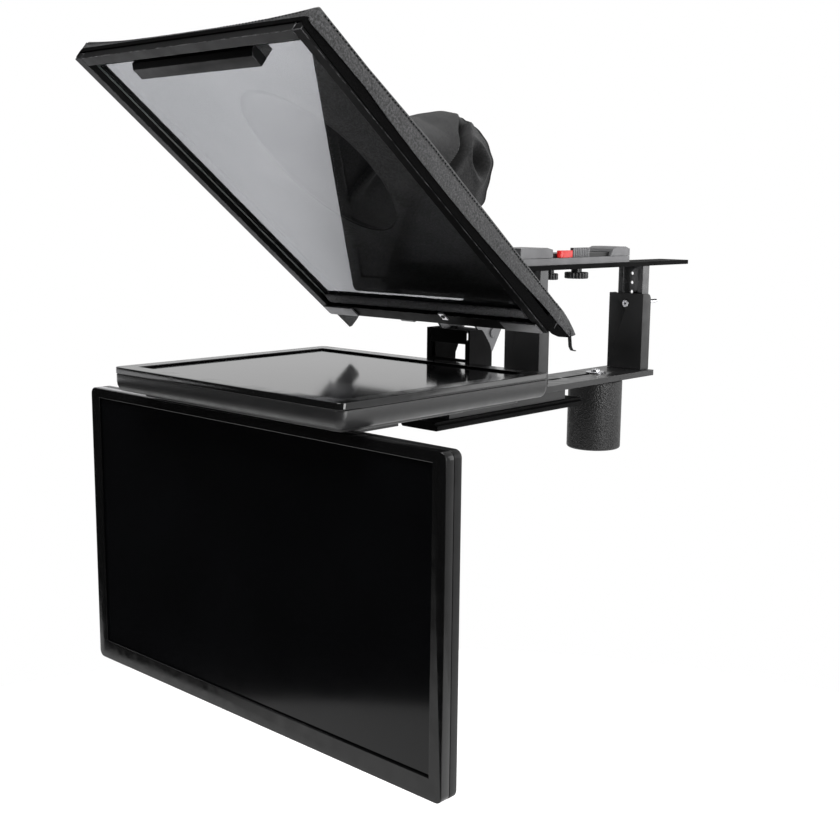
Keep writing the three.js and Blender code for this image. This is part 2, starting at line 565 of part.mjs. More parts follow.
function buildMonitor(spec, group) {
  const { name, width, height, corner, opening, offset, lip, panel, bezel, tier, bulge } = spec;
  const rest = 1.6;
  const frame = alongZ(roundedRectangle(width, height, corner), -bezel, 0, 4);
  const window = block([-opening[0] / 2, opening[0] / 2],
    [offset - opening[1] / 2, offset + opening[1] / 2], [-bezel - 1, 1]);
  const panelX = opening[0] / 2 + 3;
  const panelY = opening[1] / 2 + 3;
  const pocket = block([-panelX - GAP, panelX + GAP], [offset - panelY - GAP, offset + panelY + GAP],
    [-bezel - 1, -lip]);
  const button = spec.button;
  const well = rod(button.axis, button.radius + GAP, ...button.well, ...button.at, 16);
  const inFrame = button.on === "bezel";
  add(`${name}_bezel`, cut(frame, window, pocket, ...(inFrame ? [well] : [])), GLOSS_PLASTIC, group);
  const cap = rod(button.axis, button.radius, ...button.reach, ...button.at, 16);
  add(`${name}_power_button`, cap, PLASTIC, group);
  add(`${name}_screen`, block([-panelX, panelX], [offset - panelY, offset + panelY],
    [-lip - GAP - panel, -lip - GAP]), SCREEN, group);

  const shellTop = -bezel - GAP;
  const shoulder = shellTop - spec.straight;
  const rimBottom = shoulder - spec.curve;
  const thick = 2.6;
  let outer = taperedSlab(width, height, corner, shellTop, shoulder, rimBottom, spec.inset);
  let inner = block([-panelX, panelX], [-panelY + offset, panelY + offset], [rimBottom + thick, 1]);
  if (tier) {
    outer = join(outer, alongZ(roundedRectangle(tier.width, tier.height, 6), -tier.depth, rimBottom + 1, 4));
    inner = join(inner, block([thick - tier.width / 2, tier.width / 2 - thick],
      [thick - tier.height / 2, tier.height / 2 - thick], [-tier.depth + thick, rimBottom + thick + 1]));
  }
  const bulgeShape = roundedRectangle(bulge.width, bulge.height, 8, 0, bulge.offset);
  outer = join(outer, alongZ(bulgeShape, -bulge.depth, rimBottom + 1, 4));
  inner = join(inner, block([thick - bulge.width / 2, bulge.width / 2 - thick],
    [bulge.offset + thick - bulge.height / 2, bulge.offset + bulge.height / 2 - thick],
    [-bulge.depth + thick, rimBottom + thick + 1]));
  const vents = [];
  const bulgeTop = bulge.offset + bulge.height / 2;
  for (let i = 0; i < 9; i += 1) {
    const x = -bulge.width * 0.3 + i * bulge.width * 0.075;
    vents.push(block([x, x + 3], [bulgeTop - 31.6, bulgeTop - 12], [-bulge.depth - 1, -bulge.depth + 1]));
  }
  add(`${name}_rear_cover`, cut(outer, inner, ...vents, ...(inFrame ? [] : [well])), PLASTIC, group);

  const boardTop = -bulge.depth + thick + GAP + rest;
  add(`${name}_board`, block([-bulge.width * 0.38, bulge.width * 0.38],
    [bulge.offset - bulge.height * 0.36, bulge.offset + bulge.height * 0.36], [boardTop - rest, boardTop]),
  BOARD, group);
}

function buildPrompterMonitor() {
  const group = new THREE.Group();
  group.position.set(0, PROMPTER_CENTRE_Y, PROMPTER_TOP);
  teleprompter.add(group);
  buildMonitor(PROMPTER, group);
  const plateTop = PROMPTER_TOP - PROMPTER.bulge.depth - GAP;
  const plate = block([-57, 57], [-352, -176], [RAIL.top + GAP, plateTop]);
  add("prompter_mount_plate", plate, PAINTED);
}

function buildTalentMonitor() {
  const group = new THREE.Group();
  group.position.set(0, TALENT_FACE_Y, TALENT_CENTRE_Z);
  group.rotation.x = Math.PI / 2;
  teleprompter.add(group);
  buildMonitor(TALENT, group);

  const coverBack = TALENT_FACE_Y + TALENT.bulge.depth + GAP;
  const plateBack = coverBack + 3;
  const lug = (from, to) => {
    const shape = new THREE.Shape();
    shape.moveTo(plateBack - 1, TALENT_CENTRE_Z - 10);
    shape.lineTo(ARM.y, TALENT_CENTRE_Z - 10);
    shape.absarc(ARM.y, TALENT_CENTRE_Z, 10, -Math.PI / 2, Math.PI / 2);
    shape.lineTo(plateBack - 1, TALENT_CENTRE_Z + 10);
    return alongX(shape, from, to, 8);
  };
  const holder = join(block([-55, 55], [coverBack, plateBack], [TALENT_CENTRE_Z - 55, TALENT_CENTRE_Z + 55]),
    lug(14.1, 18.1), lug(-18.1, -14.1));
  const pinRadius = 4;
  const hole = rod("x", pinRadius + GAP, -30, 30, ARM.y, TALENT_CENTRE_Z, 20);
  add("talent_tilt_bracket", cut(holder, hole), PAINTED);

  const armShape = new THREE.Shape();
  armShape.moveTo(ARM.y - ARM.halfDepth, ARM.top);
  armShape.lineTo(ARM.y - ARM.halfDepth, TALENT_CENTRE_Z);
  armShape.absarc(ARM.y, TALENT_CENTRE_Z, ARM.radius, Math.PI, 2 * Math.PI);
  armShape.lineTo(ARM.y + ARM.halfDepth, ARM.top);
  add("drop_arm", cut(alongX(armShape, -ARM.halfWidth, ARM.halfWidth, 8), hole), ANODISED);
  const pin = rod("x", pinRadius, -22, 22, ARM.y, TALENT_CENTRE_Z, 20);
  const head = (from, to) => rod("x", 7, from, to, ARM.y, TALENT_CENTRE_Z, 20);
  add("talent_tilt_bolt", join(pin, head(18.5, 22.5), head(-22.5, -18.5)), BARE_METAL);

  const { halfWidth, halfDepth, bottom, top } = CHANNEL;
  const yRange = [ARM.y - halfDepth, ARM.y + halfDepth];
  const tube = block([-halfWidth, halfWidth], yRange, [bottom, top + 1]);
  const boom = block([-20, 20], [yRange[0], -205], [top, RAIL.bottom - GAP]);
  const bore = block([-ARM.halfWidth - 0.4, ARM.halfWidth + 0.4],
    [ARM.y - ARM.halfDepth - 0.4, ARM.y + ARM.halfDepth + 0.4], [bottom - 1, top + 3]);
  const screwHeight = -40;
  const screwHole = rod("y", 4 + GAP, ARM.y, yRange[1] + 5, 0, screwHeight, 16);
  add("drop_channel", cut(join(tube, boom), bore, screwHole), PAINTED);
  const grip = flutedGrip(14, 0, 16, 8).rotateX(-Math.PI / 2).translate(0, yRange[1] + 2, screwHeight);
  const shank = rod("y", 4, ARM.y + ARM.halfDepth + GAP, yRange[1] + 4, 0, screwHeight, 16);
  add("drop_lock_knob", join(grip, shank), ANODISED);
}

buildBase();
buildRisers();
buildCameraPlate();
buildQuickRelease();
buildMirror();
buildPrompterMonitor();
buildTalentMonitor();

export default teleprompter;
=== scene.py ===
import json
import math
import random

import bmesh
import bpy
from mathutils import Matrix, Vector, noise


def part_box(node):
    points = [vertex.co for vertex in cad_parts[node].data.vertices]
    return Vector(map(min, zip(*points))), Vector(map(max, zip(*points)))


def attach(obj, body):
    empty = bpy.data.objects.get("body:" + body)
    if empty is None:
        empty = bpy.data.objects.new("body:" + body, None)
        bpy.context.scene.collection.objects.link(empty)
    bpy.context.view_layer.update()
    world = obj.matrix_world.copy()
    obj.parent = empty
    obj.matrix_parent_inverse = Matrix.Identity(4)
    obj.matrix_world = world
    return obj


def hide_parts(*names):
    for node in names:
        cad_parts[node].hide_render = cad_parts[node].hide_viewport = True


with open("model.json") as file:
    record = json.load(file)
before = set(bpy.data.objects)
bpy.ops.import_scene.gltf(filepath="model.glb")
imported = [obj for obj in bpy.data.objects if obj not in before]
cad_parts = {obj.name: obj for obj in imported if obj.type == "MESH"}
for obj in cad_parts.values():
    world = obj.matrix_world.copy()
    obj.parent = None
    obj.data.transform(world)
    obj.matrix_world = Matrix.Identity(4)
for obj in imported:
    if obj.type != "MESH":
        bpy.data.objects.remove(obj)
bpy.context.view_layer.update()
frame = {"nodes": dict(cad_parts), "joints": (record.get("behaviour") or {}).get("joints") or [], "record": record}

MM = 0.001
BODY_OF = {node: body for body, nodes in frame["record"]["behaviour"]["bodies"].items() for node in nodes}
SLOT_OF = {row["node"]: row["material_slot"] for row in frame["record"]["subparts"]}

# The mirror's own frame: s runs up the glass from its foot, n is the distance behind its talent side.
PIVOT = Vector(next(j["pos_m"] for j in frame["joints"] if j["name"] == "mirror_tilt")) / MM
TILT = math.radians(38.1)
FOOT = 108.6
FACE = -37.6


def on_mirror(x, s, n):
    up, out = s + FOOT, n + FACE
    y = PIVOT.y - up * math.cos(TILT) + out * math.sin(TILT)
    z = PIVOT.z + up * math.sin(TILT) + out * math.cos(TILT)
    return Vector((x, y, z)) * MM


# ---- materials ---------------------------------------------------------------------------------
class Paint:
    """Builds one Principled material whose colour, roughness and bump come from noise in the piece's own space."""

    def __init__(self, name, **fixed):
        self.material = bpy.data.materials.new(name)
        self.material.use_nodes = True
        self.tree = self.material.node_tree
        self.shader = self.tree.nodes["Principled BSDF"]
        for key, value in fixed.items():
            self.shader.inputs[key.replace("_", " ")].default_value = value
        self.place = self.tree.nodes.new("ShaderNodeTexCoord").outputs["Object"]

    def node(self, kind, **settings):
        made = self.tree.nodes.new(kind)
        for key, value in settings.items():
            if key in made.inputs:
                made.inputs[key].default_value = value
            else:
                setattr(made, key, value)
        return made

    def link(self, source, target):
        self.tree.links.new(source, target)

    def stretched(self, scale):
        mapping = self.node("ShaderNodeMapping")
        mapping.inputs["Scale"].default_value = scale
        self.link(self.place, mapping.inputs["Vector"])
        return mapping.outputs["Vector"]

    def noise(self, scale, detail=3.0, rough=0.5, place=None):
        made = self.node("ShaderNodeTexNoise", Scale=scale, Detail=detail, Roughness=rough)
        self.link(place or self.place, made.inputs["Vector"])
        return made.outputs["Fac"]

    def ramp(self, source, stops):
        made = self.node("ShaderNodeValToRGB")
        elements = made.color_ramp.elements
        for i, (place, colour) in enumerate(stops):
            element = elements[i] if i < 2 else elements.new(place)
            element.position = place
            element.color = (*colour, 1) if len(colour) == 3 else colour
        self.link(source, made.inputs["Fac"])
        return made.outputs["Color"]

    def span(self, source, low, high, from_low=0.3, from_high=0.7):
        made = self.node("ShaderNodeMapRange")
        for key, value in (("From Min", from_low), ("From Max", from_high), ("To Min", low), ("To Max", high)):
            made.inputs[key].default_value = value
        self.link(source, made.inputs["Value"])
        return made.outputs["Result"]

    def maths(self, kind, a, b=None):
        made = self.node("ShaderNodeMath", operation=kind)
        for i, value in enumerate((a, b)):
            if value is None:
                continue
            if isinstance(value, (int, float)):
                made.inputs[i].default_value = value
            else:
                self.link(value, made.inputs[i])
        return made.outputs["Value"]

    def mix(self, factor, a, b):
        made = self.node("ShaderNodeMix", data_type="RGBA")
        self.link(factor, made.inputs[0])
        for socket, value in ((made.inputs[6], a), (made.inputs[7], b)):
            if isinstance(value, tuple):
                socket.default_value = (*value, 1)
            else:
                self.link(value, socket)
        return made.outputs[2]

    def edges(self, radius):
        """0 on flat faces, up to 1 along edges: where hands and use have worn them, and where painted highlights stand
        for the light that edges catch.
        """
        bevel = self.node("ShaderNodeBevel", samples=4)
        bevel.inputs["Radius"].default_value = radius
        flat = self.node("ShaderNodeNewGeometry").outputs["Normal"]
        dot = self.node("ShaderNodeVectorMath", operation="DOT_PRODUCT")
        self.link(bevel.outputs["Normal"], dot.inputs[0])
        self.link(flat, dot.inputs[1])
        return self.span(dot.outputs["Value"], 1.0, 0.0, 0.86, 0.99)

    def bump(self, height, strength, distance):
        made = self.node("ShaderNodeBump", Strength=strength, Distance=distance)
        if self.shader.inputs["Normal"].links:
            self.link(self.shader.inputs["Normal"].links[0].from_socket, made.inputs["Normal"])
        self.link(height, made.inputs["Height"])
        self.link(made.outputs["Normal"], self.shader.inputs["Normal"])

    def colour(self, source):
        self.link(source, self.shader.inputs["Base Color"])

    def roughness(self, source):
        self.link(source, self.shader.inputs["Roughness"])


def grey(value):
    return (value, value, value * 1.03)


def coated(name, dark, light, rough, grain, bump, edge_wear_and_highlight=None, metallic=0.0, specular=0.5):
    """Painted, anodised or moulded: slow colour drift, fine grain in the bump, and paler edges if asked: worn edges on
    most finishes, painted highlights on the mirror frame's black.
    """
    paint = Paint(name, Metallic=metallic, Specular_IOR_Level=specular)
    drift = paint.noise(9, 4)
    colour = paint.ramp(drift, [(0.3, dark), (0.7, light)])
    if edge_wear_and_highlight:
        edge_wear_and_highlight_colour, radius = edge_wear_and_highlight
        patchy = paint.span(paint.noise(140, 4), 0.0, 1.0, 0.42, 0.62)
        colour = paint.mix(paint.maths("MULTIPLY", paint.edges(radius), patchy), colour, edge_wear_and_highlight_colour)
    paint.colour(colour)
    paint.roughness(paint.span(paint.noise(60, 5), rough - 0.06, rough + 0.07))
    paint.bump(paint.noise(grain, 3), bump, 0.0002)
    return paint.material


def brushed(name, dark, light, rough, stretch):
    paint = Paint(name, Metallic=1.0)
    lines = paint.noise(1, 3, 0.6, paint.stretched(stretch))
    paint.colour(paint.ramp(lines, [(0.25, dark), (0.75, light)]))
    paint.roughness(paint.span(lines, rough - 0.07, rough + 0.1))
    paint.bump(lines, 0.12, 0.0001)
    return paint.material


def crinkled():
    paint = Paint("crinkle_coat", Metallic=0.0, Specular_IOR_Level=0.42)
    wrinkles = paint.node("ShaderNodeTexVoronoi", Scale=620.0, feature="SMOOTH_F1")
    bent = paint.node("ShaderNodeVectorMath", operation="ADD")
    wobble = paint.node("ShaderNodeTexNoise", Scale=300.0, Detail=2.0)
    paint.link(paint.place, wobble.inputs["Vector"])
    shrink = paint.node("ShaderNodeVectorMath", operation="SCALE")
    shrink.inputs["Scale"].default_value = 0.003
    paint.link(wobble.outputs["Color"], shrink.inputs[0])
    paint.link(paint.place, bent.inputs[0])
    paint.link(shrink.outputs["Vector"], bent.inputs[1])
    paint.link(bent.outputs["Vector"], wrinkles.inputs["Vector"])
    height = wrinkles.outputs["Distance"]
    paint.colour(paint.ramp(height, [(0.1, grey(0.006)), (0.8, grey(0.003))]))
    paint.roughness(paint.span(height, 0.3, 0.5, 0.1, 0.8))
    paint.bump(height, 0.9, 0.0009)
    return paint.material


def woven(name, dark, mid, light, thread, bump, sheen=0.25, crease_shade_reach=0.0):
    """Woven nylon: crossing threads along the sheet's own UV, a heathered colour, a slight sheen, and painted shade in
    its creases if asked.
    """
    paint = Paint(name, Roughness=0.92, Sheen_Weight=sheen, Sheen_Roughness=0.45, Specular_IOR_Level=0.25)
    uv = paint.node("ShaderNodeUVMap").outputs["UV"]
    split = paint.node("ShaderNodeSeparateXYZ")
    paint.link(uv, split.inputs["Vector"])
    turns = 2 * math.pi / thread
    across = paint.maths("SINE", paint.maths("MULTIPLY", split.outputs["X"], turns))
    along = paint.maths("SINE", paint.maths("MULTIPLY", split.outputs["Y"], turns))
    weave = paint.maths("MULTIPLY", across, along)
    flecks = paint.noise(900, 2, 0.6)
    heather = paint.noise(430, 3, 0.6)
    tone = paint.maths("ADD", paint.maths("MULTIPLY", heather, 0.75), paint.maths("MULTIPLY", flecks, 0.25))
    colour = paint.ramp(tone, [(0.38, dark), (0.5, mid), (0.62, light)])
    faded = paint.mix(paint.span(paint.noise(12, 3), 0.0, 0.3), colour, mid)
    shaded = paint.mix(paint.span(weave, 0.0, 0.35, -1.0, 1.0), faded, dark)
    if crease_shade_reach:
        # Painted shade: the colour goes towards near black where ambient occlusion finds the cloth folded in on
        # itself.
        crease_occlusion = paint.node("ShaderNodeAmbientOcclusion", Distance=crease_shade_reach)
        deep = paint.span(crease_occlusion.outputs["AO"], 0.93, 0.0, 0.35, 0.9)
        shaded = paint.mix(deep, shaded, grey(0.001))
    paint.colour(shaded)
    paint.bump(paint.maths("ADD", weave, paint.maths("MULTIPLY", flecks, 1.6)), bump, 0.0004)
    return paint.material


def fuzzy(name, dark, light):
    paint = Paint(name, Roughness=1.0, Specular_IOR_Level=0.03)
    tufts = paint.noise(1100, 4, 0.7)
    paint.colour(paint.ramp(tufts, [(0.35, dark), (0.7, light)]))
    paint.bump(tufts, 0.8, 0.0012)
    return paint.material


def panel_glass(name, tint, rough, specular=0.5):
    paint = Paint(name, Specular_IOR_Level=specular, IOR=1.5)
    haze = paint.noise(7, 4)
    paint.colour(paint.ramp(haze, [(0.3, tint), (0.7, tuple(v * 1.5 for v in tint))]))
    dust = paint.noise(1500, 2, 0.7)
    paint.roughness(paint.span(paint.maths("ADD", paint.maths("MULTIPLY", haze, 0.7),
                                           paint.maths("MULTIPLY", dust, 0.3)), rough, rough + 0.05))
    return paint.material


def mirror_coat():
    """The part-silvered face: it reflects about a quarter of the light and lets the rest through."""
    paint = Paint("mirror_coat", Metallic=1.0)
    smear = paint.noise(6, 5, 0.6)
    paint.colour(paint.ramp(smear, [(0.3, (0.90, 0.92, 0.95)), (0.7, (0.96, 0.97, 1.0))]))
    paint.roughness(paint.span(paint.noise(25, 5), 0.0, 0.03))
    paint.link(paint.span(smear, 0.26, 0.28), paint.shader.inputs["Alpha"])
    return paint.material


def polished_edge():
    paint = Paint("polished_glass_edge", Specular_IOR_Level=0.7)
    streak = paint.noise(1, 3, 0.5, paint.stretched((40, 900, 900)))
    # The pale colour is partly painted highlight, for the light that the polished edge catches; the green tint and the
    # streaks are the glass's own.
    paint.colour(paint.ramp(streak, [(0.3, (0.35, 0.42, 0.40)), (0.7, (0.70, 0.76, 0.74))]))
    paint.roughness(paint.span(streak, 0.08, 0.2))
    return paint.material


def circuit():
    paint = Paint("circuit_laminate", Specular_IOR_Level=0.5)
    tracks = paint.node("ShaderNodeTexVoronoi", Scale=180.0, distance="MANHATTAN")
    paint.link(paint.place, tracks.inputs["Vector"])
    paint.colour(paint.ramp(tracks.outputs["Distance"], [(0.2, (0.010, 0.060, 0.025)), (0.6, (0.018, 0.11, 0.045))]))
    paint.roughness(paint.span(tracks.outputs["Distance"], 0.3, 0.5))
    return paint.material


WORN = grey(0.20)
LOOKS = {
    "black_anodised": coated("anodised_black", grey(0.013), grey(0.022), 0.33, 2600, 0.10, (WORN, 0.0005), 0.0, 0.4),
    "black_paint": coated("powder_black", grey(0.012), grey(0.019), 0.40, 1500, 0.22, (grey(0.10), 0.0006), 0.0, 0.35),
    "grey_metal": coated("blasted_grey", grey(0.11), grey(0.15), 0.40, 3200, 0.20, (grey(0.30), 0.0006), 0.5),
    "bare_metal": brushed("machined_steel", grey(0.45), grey(0.68), 0.26, (300, 300, 2200)),
    "crinkle_black": crinkled(),
    "satin_plastic": coated("moulded_plastic", grey(0.012), grey(0.017), 0.40, 2400, 0.25),
    "gloss_plastic": coated("polished_plastic", grey(0.004), grey(0.006), 0.14, 500, 0.02, None, 0.0, 0.6),
    "screen_glass": panel_glass("display_panel", (0.0022, 0.0023, 0.0027), 0.05),
    "red_plastic": coated("red_lever", (0.50, 0.010, 0.010), (0.62, 0.016, 0.012), 0.30, 900, 0.08,
                          ((0.75, 0.2, 0.16), 0.0005)),
    "circuit_board": circuit(),
    "tape_fabric": fuzzy("hook_and_loop", grey(0.0012), grey(0.006)),
    "hood_fabric": woven("hood_nylon", grey(0.013), grey(0.046), grey(0.115), 0.0011, 0.5),
    "mirror_glass": mirror_coat(),
}
# Parts of one finish that catch the light differently in the photo: duller, darker or brighter than the rest.
# The two frame blacks' pale grey edges are painted highlights for the light that the rails' bevelled edges catch, not
# worn paint.
DULL_BLACK = coated("frame_black", grey(0.004), grey(0.008), 0.45, 2600, 0.10, (grey(0.35), 0.0009), 0.0, 0.03)
SOFT_BLACK = coated("frame_black_lit", grey(0.004), grey(0.008), 0.45, 2600, 0.10, (grey(0.35), 0.0009), 0.0, 0.13)
PLATE_BLACK = coated("bridge_black", grey(0.004), grey(0.008), 0.6, 2600, 0.10, (grey(0.12), 0.0004), 0.0, 0.02)
# Painted shade: a darker copy of the powder black for the mirror bracket and the tripod plate, so that the bracket's
# insides read as in shade under the bright lights.
PAINTED_SHADE_BLACK = coated("bracket_painted_shade_black", grey(0.003), grey(0.006), 0.6, 1500, 0.22, (grey(0.07), 0.0005), 0.0, 0.03)
BRIGHT_ANODISED = coated("riser_anodised", grey(0.05), grey(0.075), 0.28, 2600, 0.10, (WORN, 0.0005), 0.5, 0.7)
JAW_STEEL = brushed("jaw_steel", grey(0.10), grey(0.19), 0.40, (300, 300, 2200))
DEEP_GLOSS = coated("talent_gloss", grey(0.003), grey(0.005), 0.16, 500, 0.02, None, 0.0, 0.3)
TALENT_PLASTIC = coated("talent_moulding", grey(0.005), grey(0.009), 0.36, 2400, 0.25, None, 0.0, 0.2)
TALENT_PANEL = panel_glass("talent_panel", (0.0018, 0.0019, 0.0022), 0.06, 0.2)
OWN_LOOK = {
    "frame_top_rail": SOFT_BLACK, "frame_left_rail": SOFT_BLACK, "frame_right_rail": DULL_BLACK,
    "frame_bottom_rail": DULL_BLACK, "glass_clamp_bar": SOFT_BLACK, "camera_plate": PLATE_BLACK,
    "release_clamp_jaw": JAW_STEEL, "mirror_bracket": PAINTED_SHADE_BLACK, "tripod_plate": PAINTED_SHADE_BLACK,
    "front_riser_inner": BRIGHT_ANODISED, "rear_riser_inner": BRIGHT_ANODISED, "talent_screen": TALENT_PANEL,
    "talent_bezel": DEEP_GLOSS, "talent_rear_cover": TALENT_PLASTIC,
}
# The sleeve's last argument switches on painted shade: its folds are darkened by ambient occlusion within 30 mm.
SLEEVE_LOOK = woven("sleeve_nylon", grey(0.008), grey(0.019), grey(0.034), 0.0008, 0.3, 0.12, 0.03)
WEBBING = woven("strap_webbing", grey(0.006), grey(0.012), grey(0.025), 0.0016, 0.8, 0.2)
THREAD = fuzzy("stitch_thread", grey(0.001), grey(0.004))
# Painted light: the pile's pale colour is brightened so that the seal, which sits in shade, reads as lit.
SEAL_FUZZ = fuzzy("light_seal_pile", grey(0.012), grey(0.42))
EDGE_GLASS = polished_edge()
DARK_STEEL = brushed("blackened_steel", grey(0.03), grey(0.07), 0.34, (900, 900, 400))
# Painted shade: near black for flat patches that stand for the insides of the monitors' vent holes and connector
# sockets.
RECESS_PAINTED_SHADE = coated("painted_recess_shade", grey(0.002), grey(0.005), 0.6, 1500, 0.2)


# ---- making and placing pieces -----------------------------------------------------------------
def linked(name, data):
    obj = bpy.data.objects.new(name, data)
    bpy.context.scene.collection.objects.link(obj)
    return obj


def piece(name, mesh, material, body, replaces=()):
    obj = linked(name, mesh)
    if not mesh.materials:
        mesh.materials.append(material)
    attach(obj, body)
    if replaces:
        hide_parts(*replaces)
    return obj


def mesh_from(bm, name):
    mesh = bpy.data.meshes.new(name)
    bm.to_mesh(mesh)
    bm.free()
    return mesh


def smooth(mesh, angle):
    for polygon in mesh.polygons:
        polygon.use_smooth = True
    mesh.set_sharp_from_angle(angle=math.radians(angle))


def frozen(obj):
    """Gives obj the mesh that its modifiers make, and removes them."""
    graph = bpy.context.evaluated_depsgraph_get()
    graph.update()
    made = bpy.data.meshes.new_from_object(obj.evaluated_get(graph), preserve_all_data_layers=True, depsgraph=graph)
    obj.modifiers.clear()
    obj.data = made
    return obj


def eased(node, width, segments, material=None):
    """A copy of a CAD node with its machined or moulded edges rounded, which stands for the node."""
    source = frame["nodes"][node]
    bm = bmesh.new()
    bm.from_mesh(source.data)
    bmesh.ops.remove_doubles(bm, verts=bm.verts, dist=2e-6)
    bmesh.ops.dissolve_limit(bm, angle_limit=math.radians(0.6), verts=bm.verts, edges=bm.edges)
    mesh = mesh_from(bm, node + "_eased")
    mesh.materials.clear()
    look = material or LOOKS[SLOT_OF[node]]
    obj = piece(node + "_finished", mesh, look, BODY_OF[node], [node])
    bevel = obj.modifiers.new("ease", "BEVEL")
    bevel.width = width * MM
    bevel.segments = segments
    bevel.limit_method = "ANGLE"
    bevel.angle_limit = math.radians(28)
    bevel.use_clamp_overlap = False
    bevel.harden_normals = True
    smooth(mesh, 75)
    return frozen(obj)


def loft(name, rings, caps=True, wrap=True):
    """A skin through rings of equal length; wrap joins each ring's ends and caps close the first and last."""
    count = len(rings[0])
    mesh = bpy.data.meshes.new(name)
    points = [p for ring in rings for p in ring]
    faces = []
    for i in range(len(rings) - 1):
        for j in range(count if wrap else count - 1):
            k = (j + 1) % count
            faces.append((i * count + j, i * count + k, (i + 1) * count + k, (i + 1) * count + j))
    if caps:
        faces.append(tuple(reversed(range(count))))
        faces.append(tuple(range((len(rings) - 1) * count, len(rings) * count)))
    mesh.from_pydata([tuple(p) for p in points], [], faces)
    bm = bmesh.new()
    bm.from_mesh(mesh)
    bmesh.ops.remove_doubles(bm, verts=bm.verts, dist=1e-6)
    if caps:
        bmesh.ops.recalc_face_normals(bm, faces=bm.faces)
    bm.to_mesh(mesh)
    bm.free()
    return mesh


AXES = {
    "x": (Vector((0, 1, 0)), Vector((0, 0, 1)), Vector((1, 0, 0))),
    "y": (Vector((0, 0, 1)), Vector((1, 0, 0)), Vector((0, 1, 0))),
    "z": (Vector((1, 0, 0)), Vector((0, 1, 0)), Vector((0, 0, 1))),
}


def turned(name, axis, centre, levels, segments=64):
    """A turned part: levels are (height mm, radius mm or radius function of the angle) along an axis."""
    u, v, w = AXES[axis]
    rings = []
    for height, radius in levels:
        ring = []
        for angle in full_turn(segments):
            r = radius(angle) if callable(radius) else radius
            ring.append(Vector(centre) + (u * r * math.cos(angle) + v * r * math.sin(angle) + w * height) * MM)
        rings.append(ring)
    return loft(name, rings)


def full_turn(count):
    """Angles spaced evenly round one turn."""
    return [2 * math.pi * i / count for i in range(count)]


def lay_flat(mesh, flat_at):
    """Gives each corner the UV in metres that flat_at makes from its face and its place."""
    uv = mesh.uv_layers.new(name="UVMap")
    for polygon in mesh.polygons:
        for index in polygon.loop_indices:
            uv.data[index].uv = flat_at(polygon, mesh.vertices[mesh.loops[index].vertex_index].co)


def fluted(radius, depth, flutes):
    def at(angle):
        return radius - depth * (0.5 - 0.5 * math.cos(flutes * angle)) ** 2.2
    return at


def hexagon(across_flats):
    def at(angle):
        turn = (angle + math.pi / 6) % (math.pi / 3) - math.pi / 6
        return across_flats / 2 / math.cos(turn)
    return at


def socket_levels(radius, bottom, top, socket, depth=2.2, round_by=0.5):
    """A cap head seen from its top: side, rounded rim, flat top and a hexagonal recess."""
    return [(bottom, radius), (top - round_by, radius), (top - round_by * 0.3, radius - round_by * 0.3),
            (top, radius - round_by), (top, hexagon(socket + 0.3)), (top - 0.2, hexagon(socket)),
            (top - depth, hexagon(socket)), (top - depth - 0.3, socket * 0.25)]


def threaded(radius, start, end, pitch=1.0, depth=0.28):
    """The ribs of a screw thread, from start to end."""
    levels = []
    steps = max(2, int(abs(end - start) / pitch * 2))
    for i in range(steps + 1):
        levels.append((start + (end - start) * i / steps, radius - (depth if i % 2 else 0)))
    return levels


def slab(name, low, high, round_by, material, body):
    """A block with rounded edges between two corners, in mm."""
    bm = bmesh.new()
    bmesh.ops.create_cube(bm, size=1.0)
    for vert in bm.verts:
        for i in range(3):
            vert.co[i] = (low[i] if vert.co[i] < 0 else high[i]) * MM
    bmesh.ops.bevel(bm, geom=bm.edges[:], offset=round_by * MM, segments=2, profile=0.5, affect="EDGES")
    mesh = mesh_from(bm, name)
    smooth(mesh, 40)
    return piece(name, mesh, material, body)


def joined(name, meshes, material, body, replaces=()):
    bm = bmesh.new()
    for mesh in meshes:
        bm.from_mesh(mesh)
    made = mesh_from(bm, name)
    smooth(made, 32)
    return piece(name, made, material, body, replaces)


# ---- camera, light and floor -------------------------------------------------------------------
CAMERA_AT = (0.9891, -1.2203, 0.260)
YAW, PITCH, ROLL = math.radians(42.65), math.radians(9.7), math.radians(0.6)
FOCAL_RATIO = 1228.4 / 840  # focal length over picture width
SENSOR_MM = 36
FLOOR_Z = -1.25
CARD_X, CARD_Y, CARD_Z = (-1.05, -0.19), (-0.62, 0.10), 0.066


def make_camera():
    ahead = Vector((-math.sin(YAW) * math.cos(PITCH), math.cos(YAW) * math.cos(PITCH), -math.sin(PITCH)))
    level = Vector((math.cos(YAW), math.sin(YAW), 0))
    upright = level.cross(ahead)
    right = level * math.cos(ROLL) + upright * math.sin(ROLL)
    up = upright * math.cos(ROLL) - level * math.sin(ROLL)
    camera = linked("Camera", bpy.data.cameras.new("Camera"))
    camera.matrix_world = Matrix.Translation(CAMERA_AT) @ Matrix((right, up, -ahead)).transposed().to_4x4()
    camera.data.sensor_width = SENSOR_MM
    camera.data.lens = FOCAL_RATIO * SENSOR_MM
    camera.data.clip_start = 0.02
    bpy.context.scene.camera = camera


def make_softbox(name, place, aim, size, power):
    light = bpy.data.lights.new(name, "AREA")
    light.shape = "RECTANGLE"
    light.size, light.size_y = size
    light.energy = power
    obj = linked(name, light)
    obj.location = place
    obj.rotation_euler = (Vector(aim) - Vector(place)).to_track_quat("-Z", "Y").to_euler()
    obj.visible_camera = False


def glowing(name, rough, dark, light):
    """A plain pale surface with light of its own."""
    paint = Paint(name, Roughness=rough)
    paint.colour(paint.ramp(paint.noise(3, 3), [(0.3, dark), (0.7, light)]))
    paint.shader.inputs["Emission Color"].default_value = (1, 1, 1, 1)
    return paint


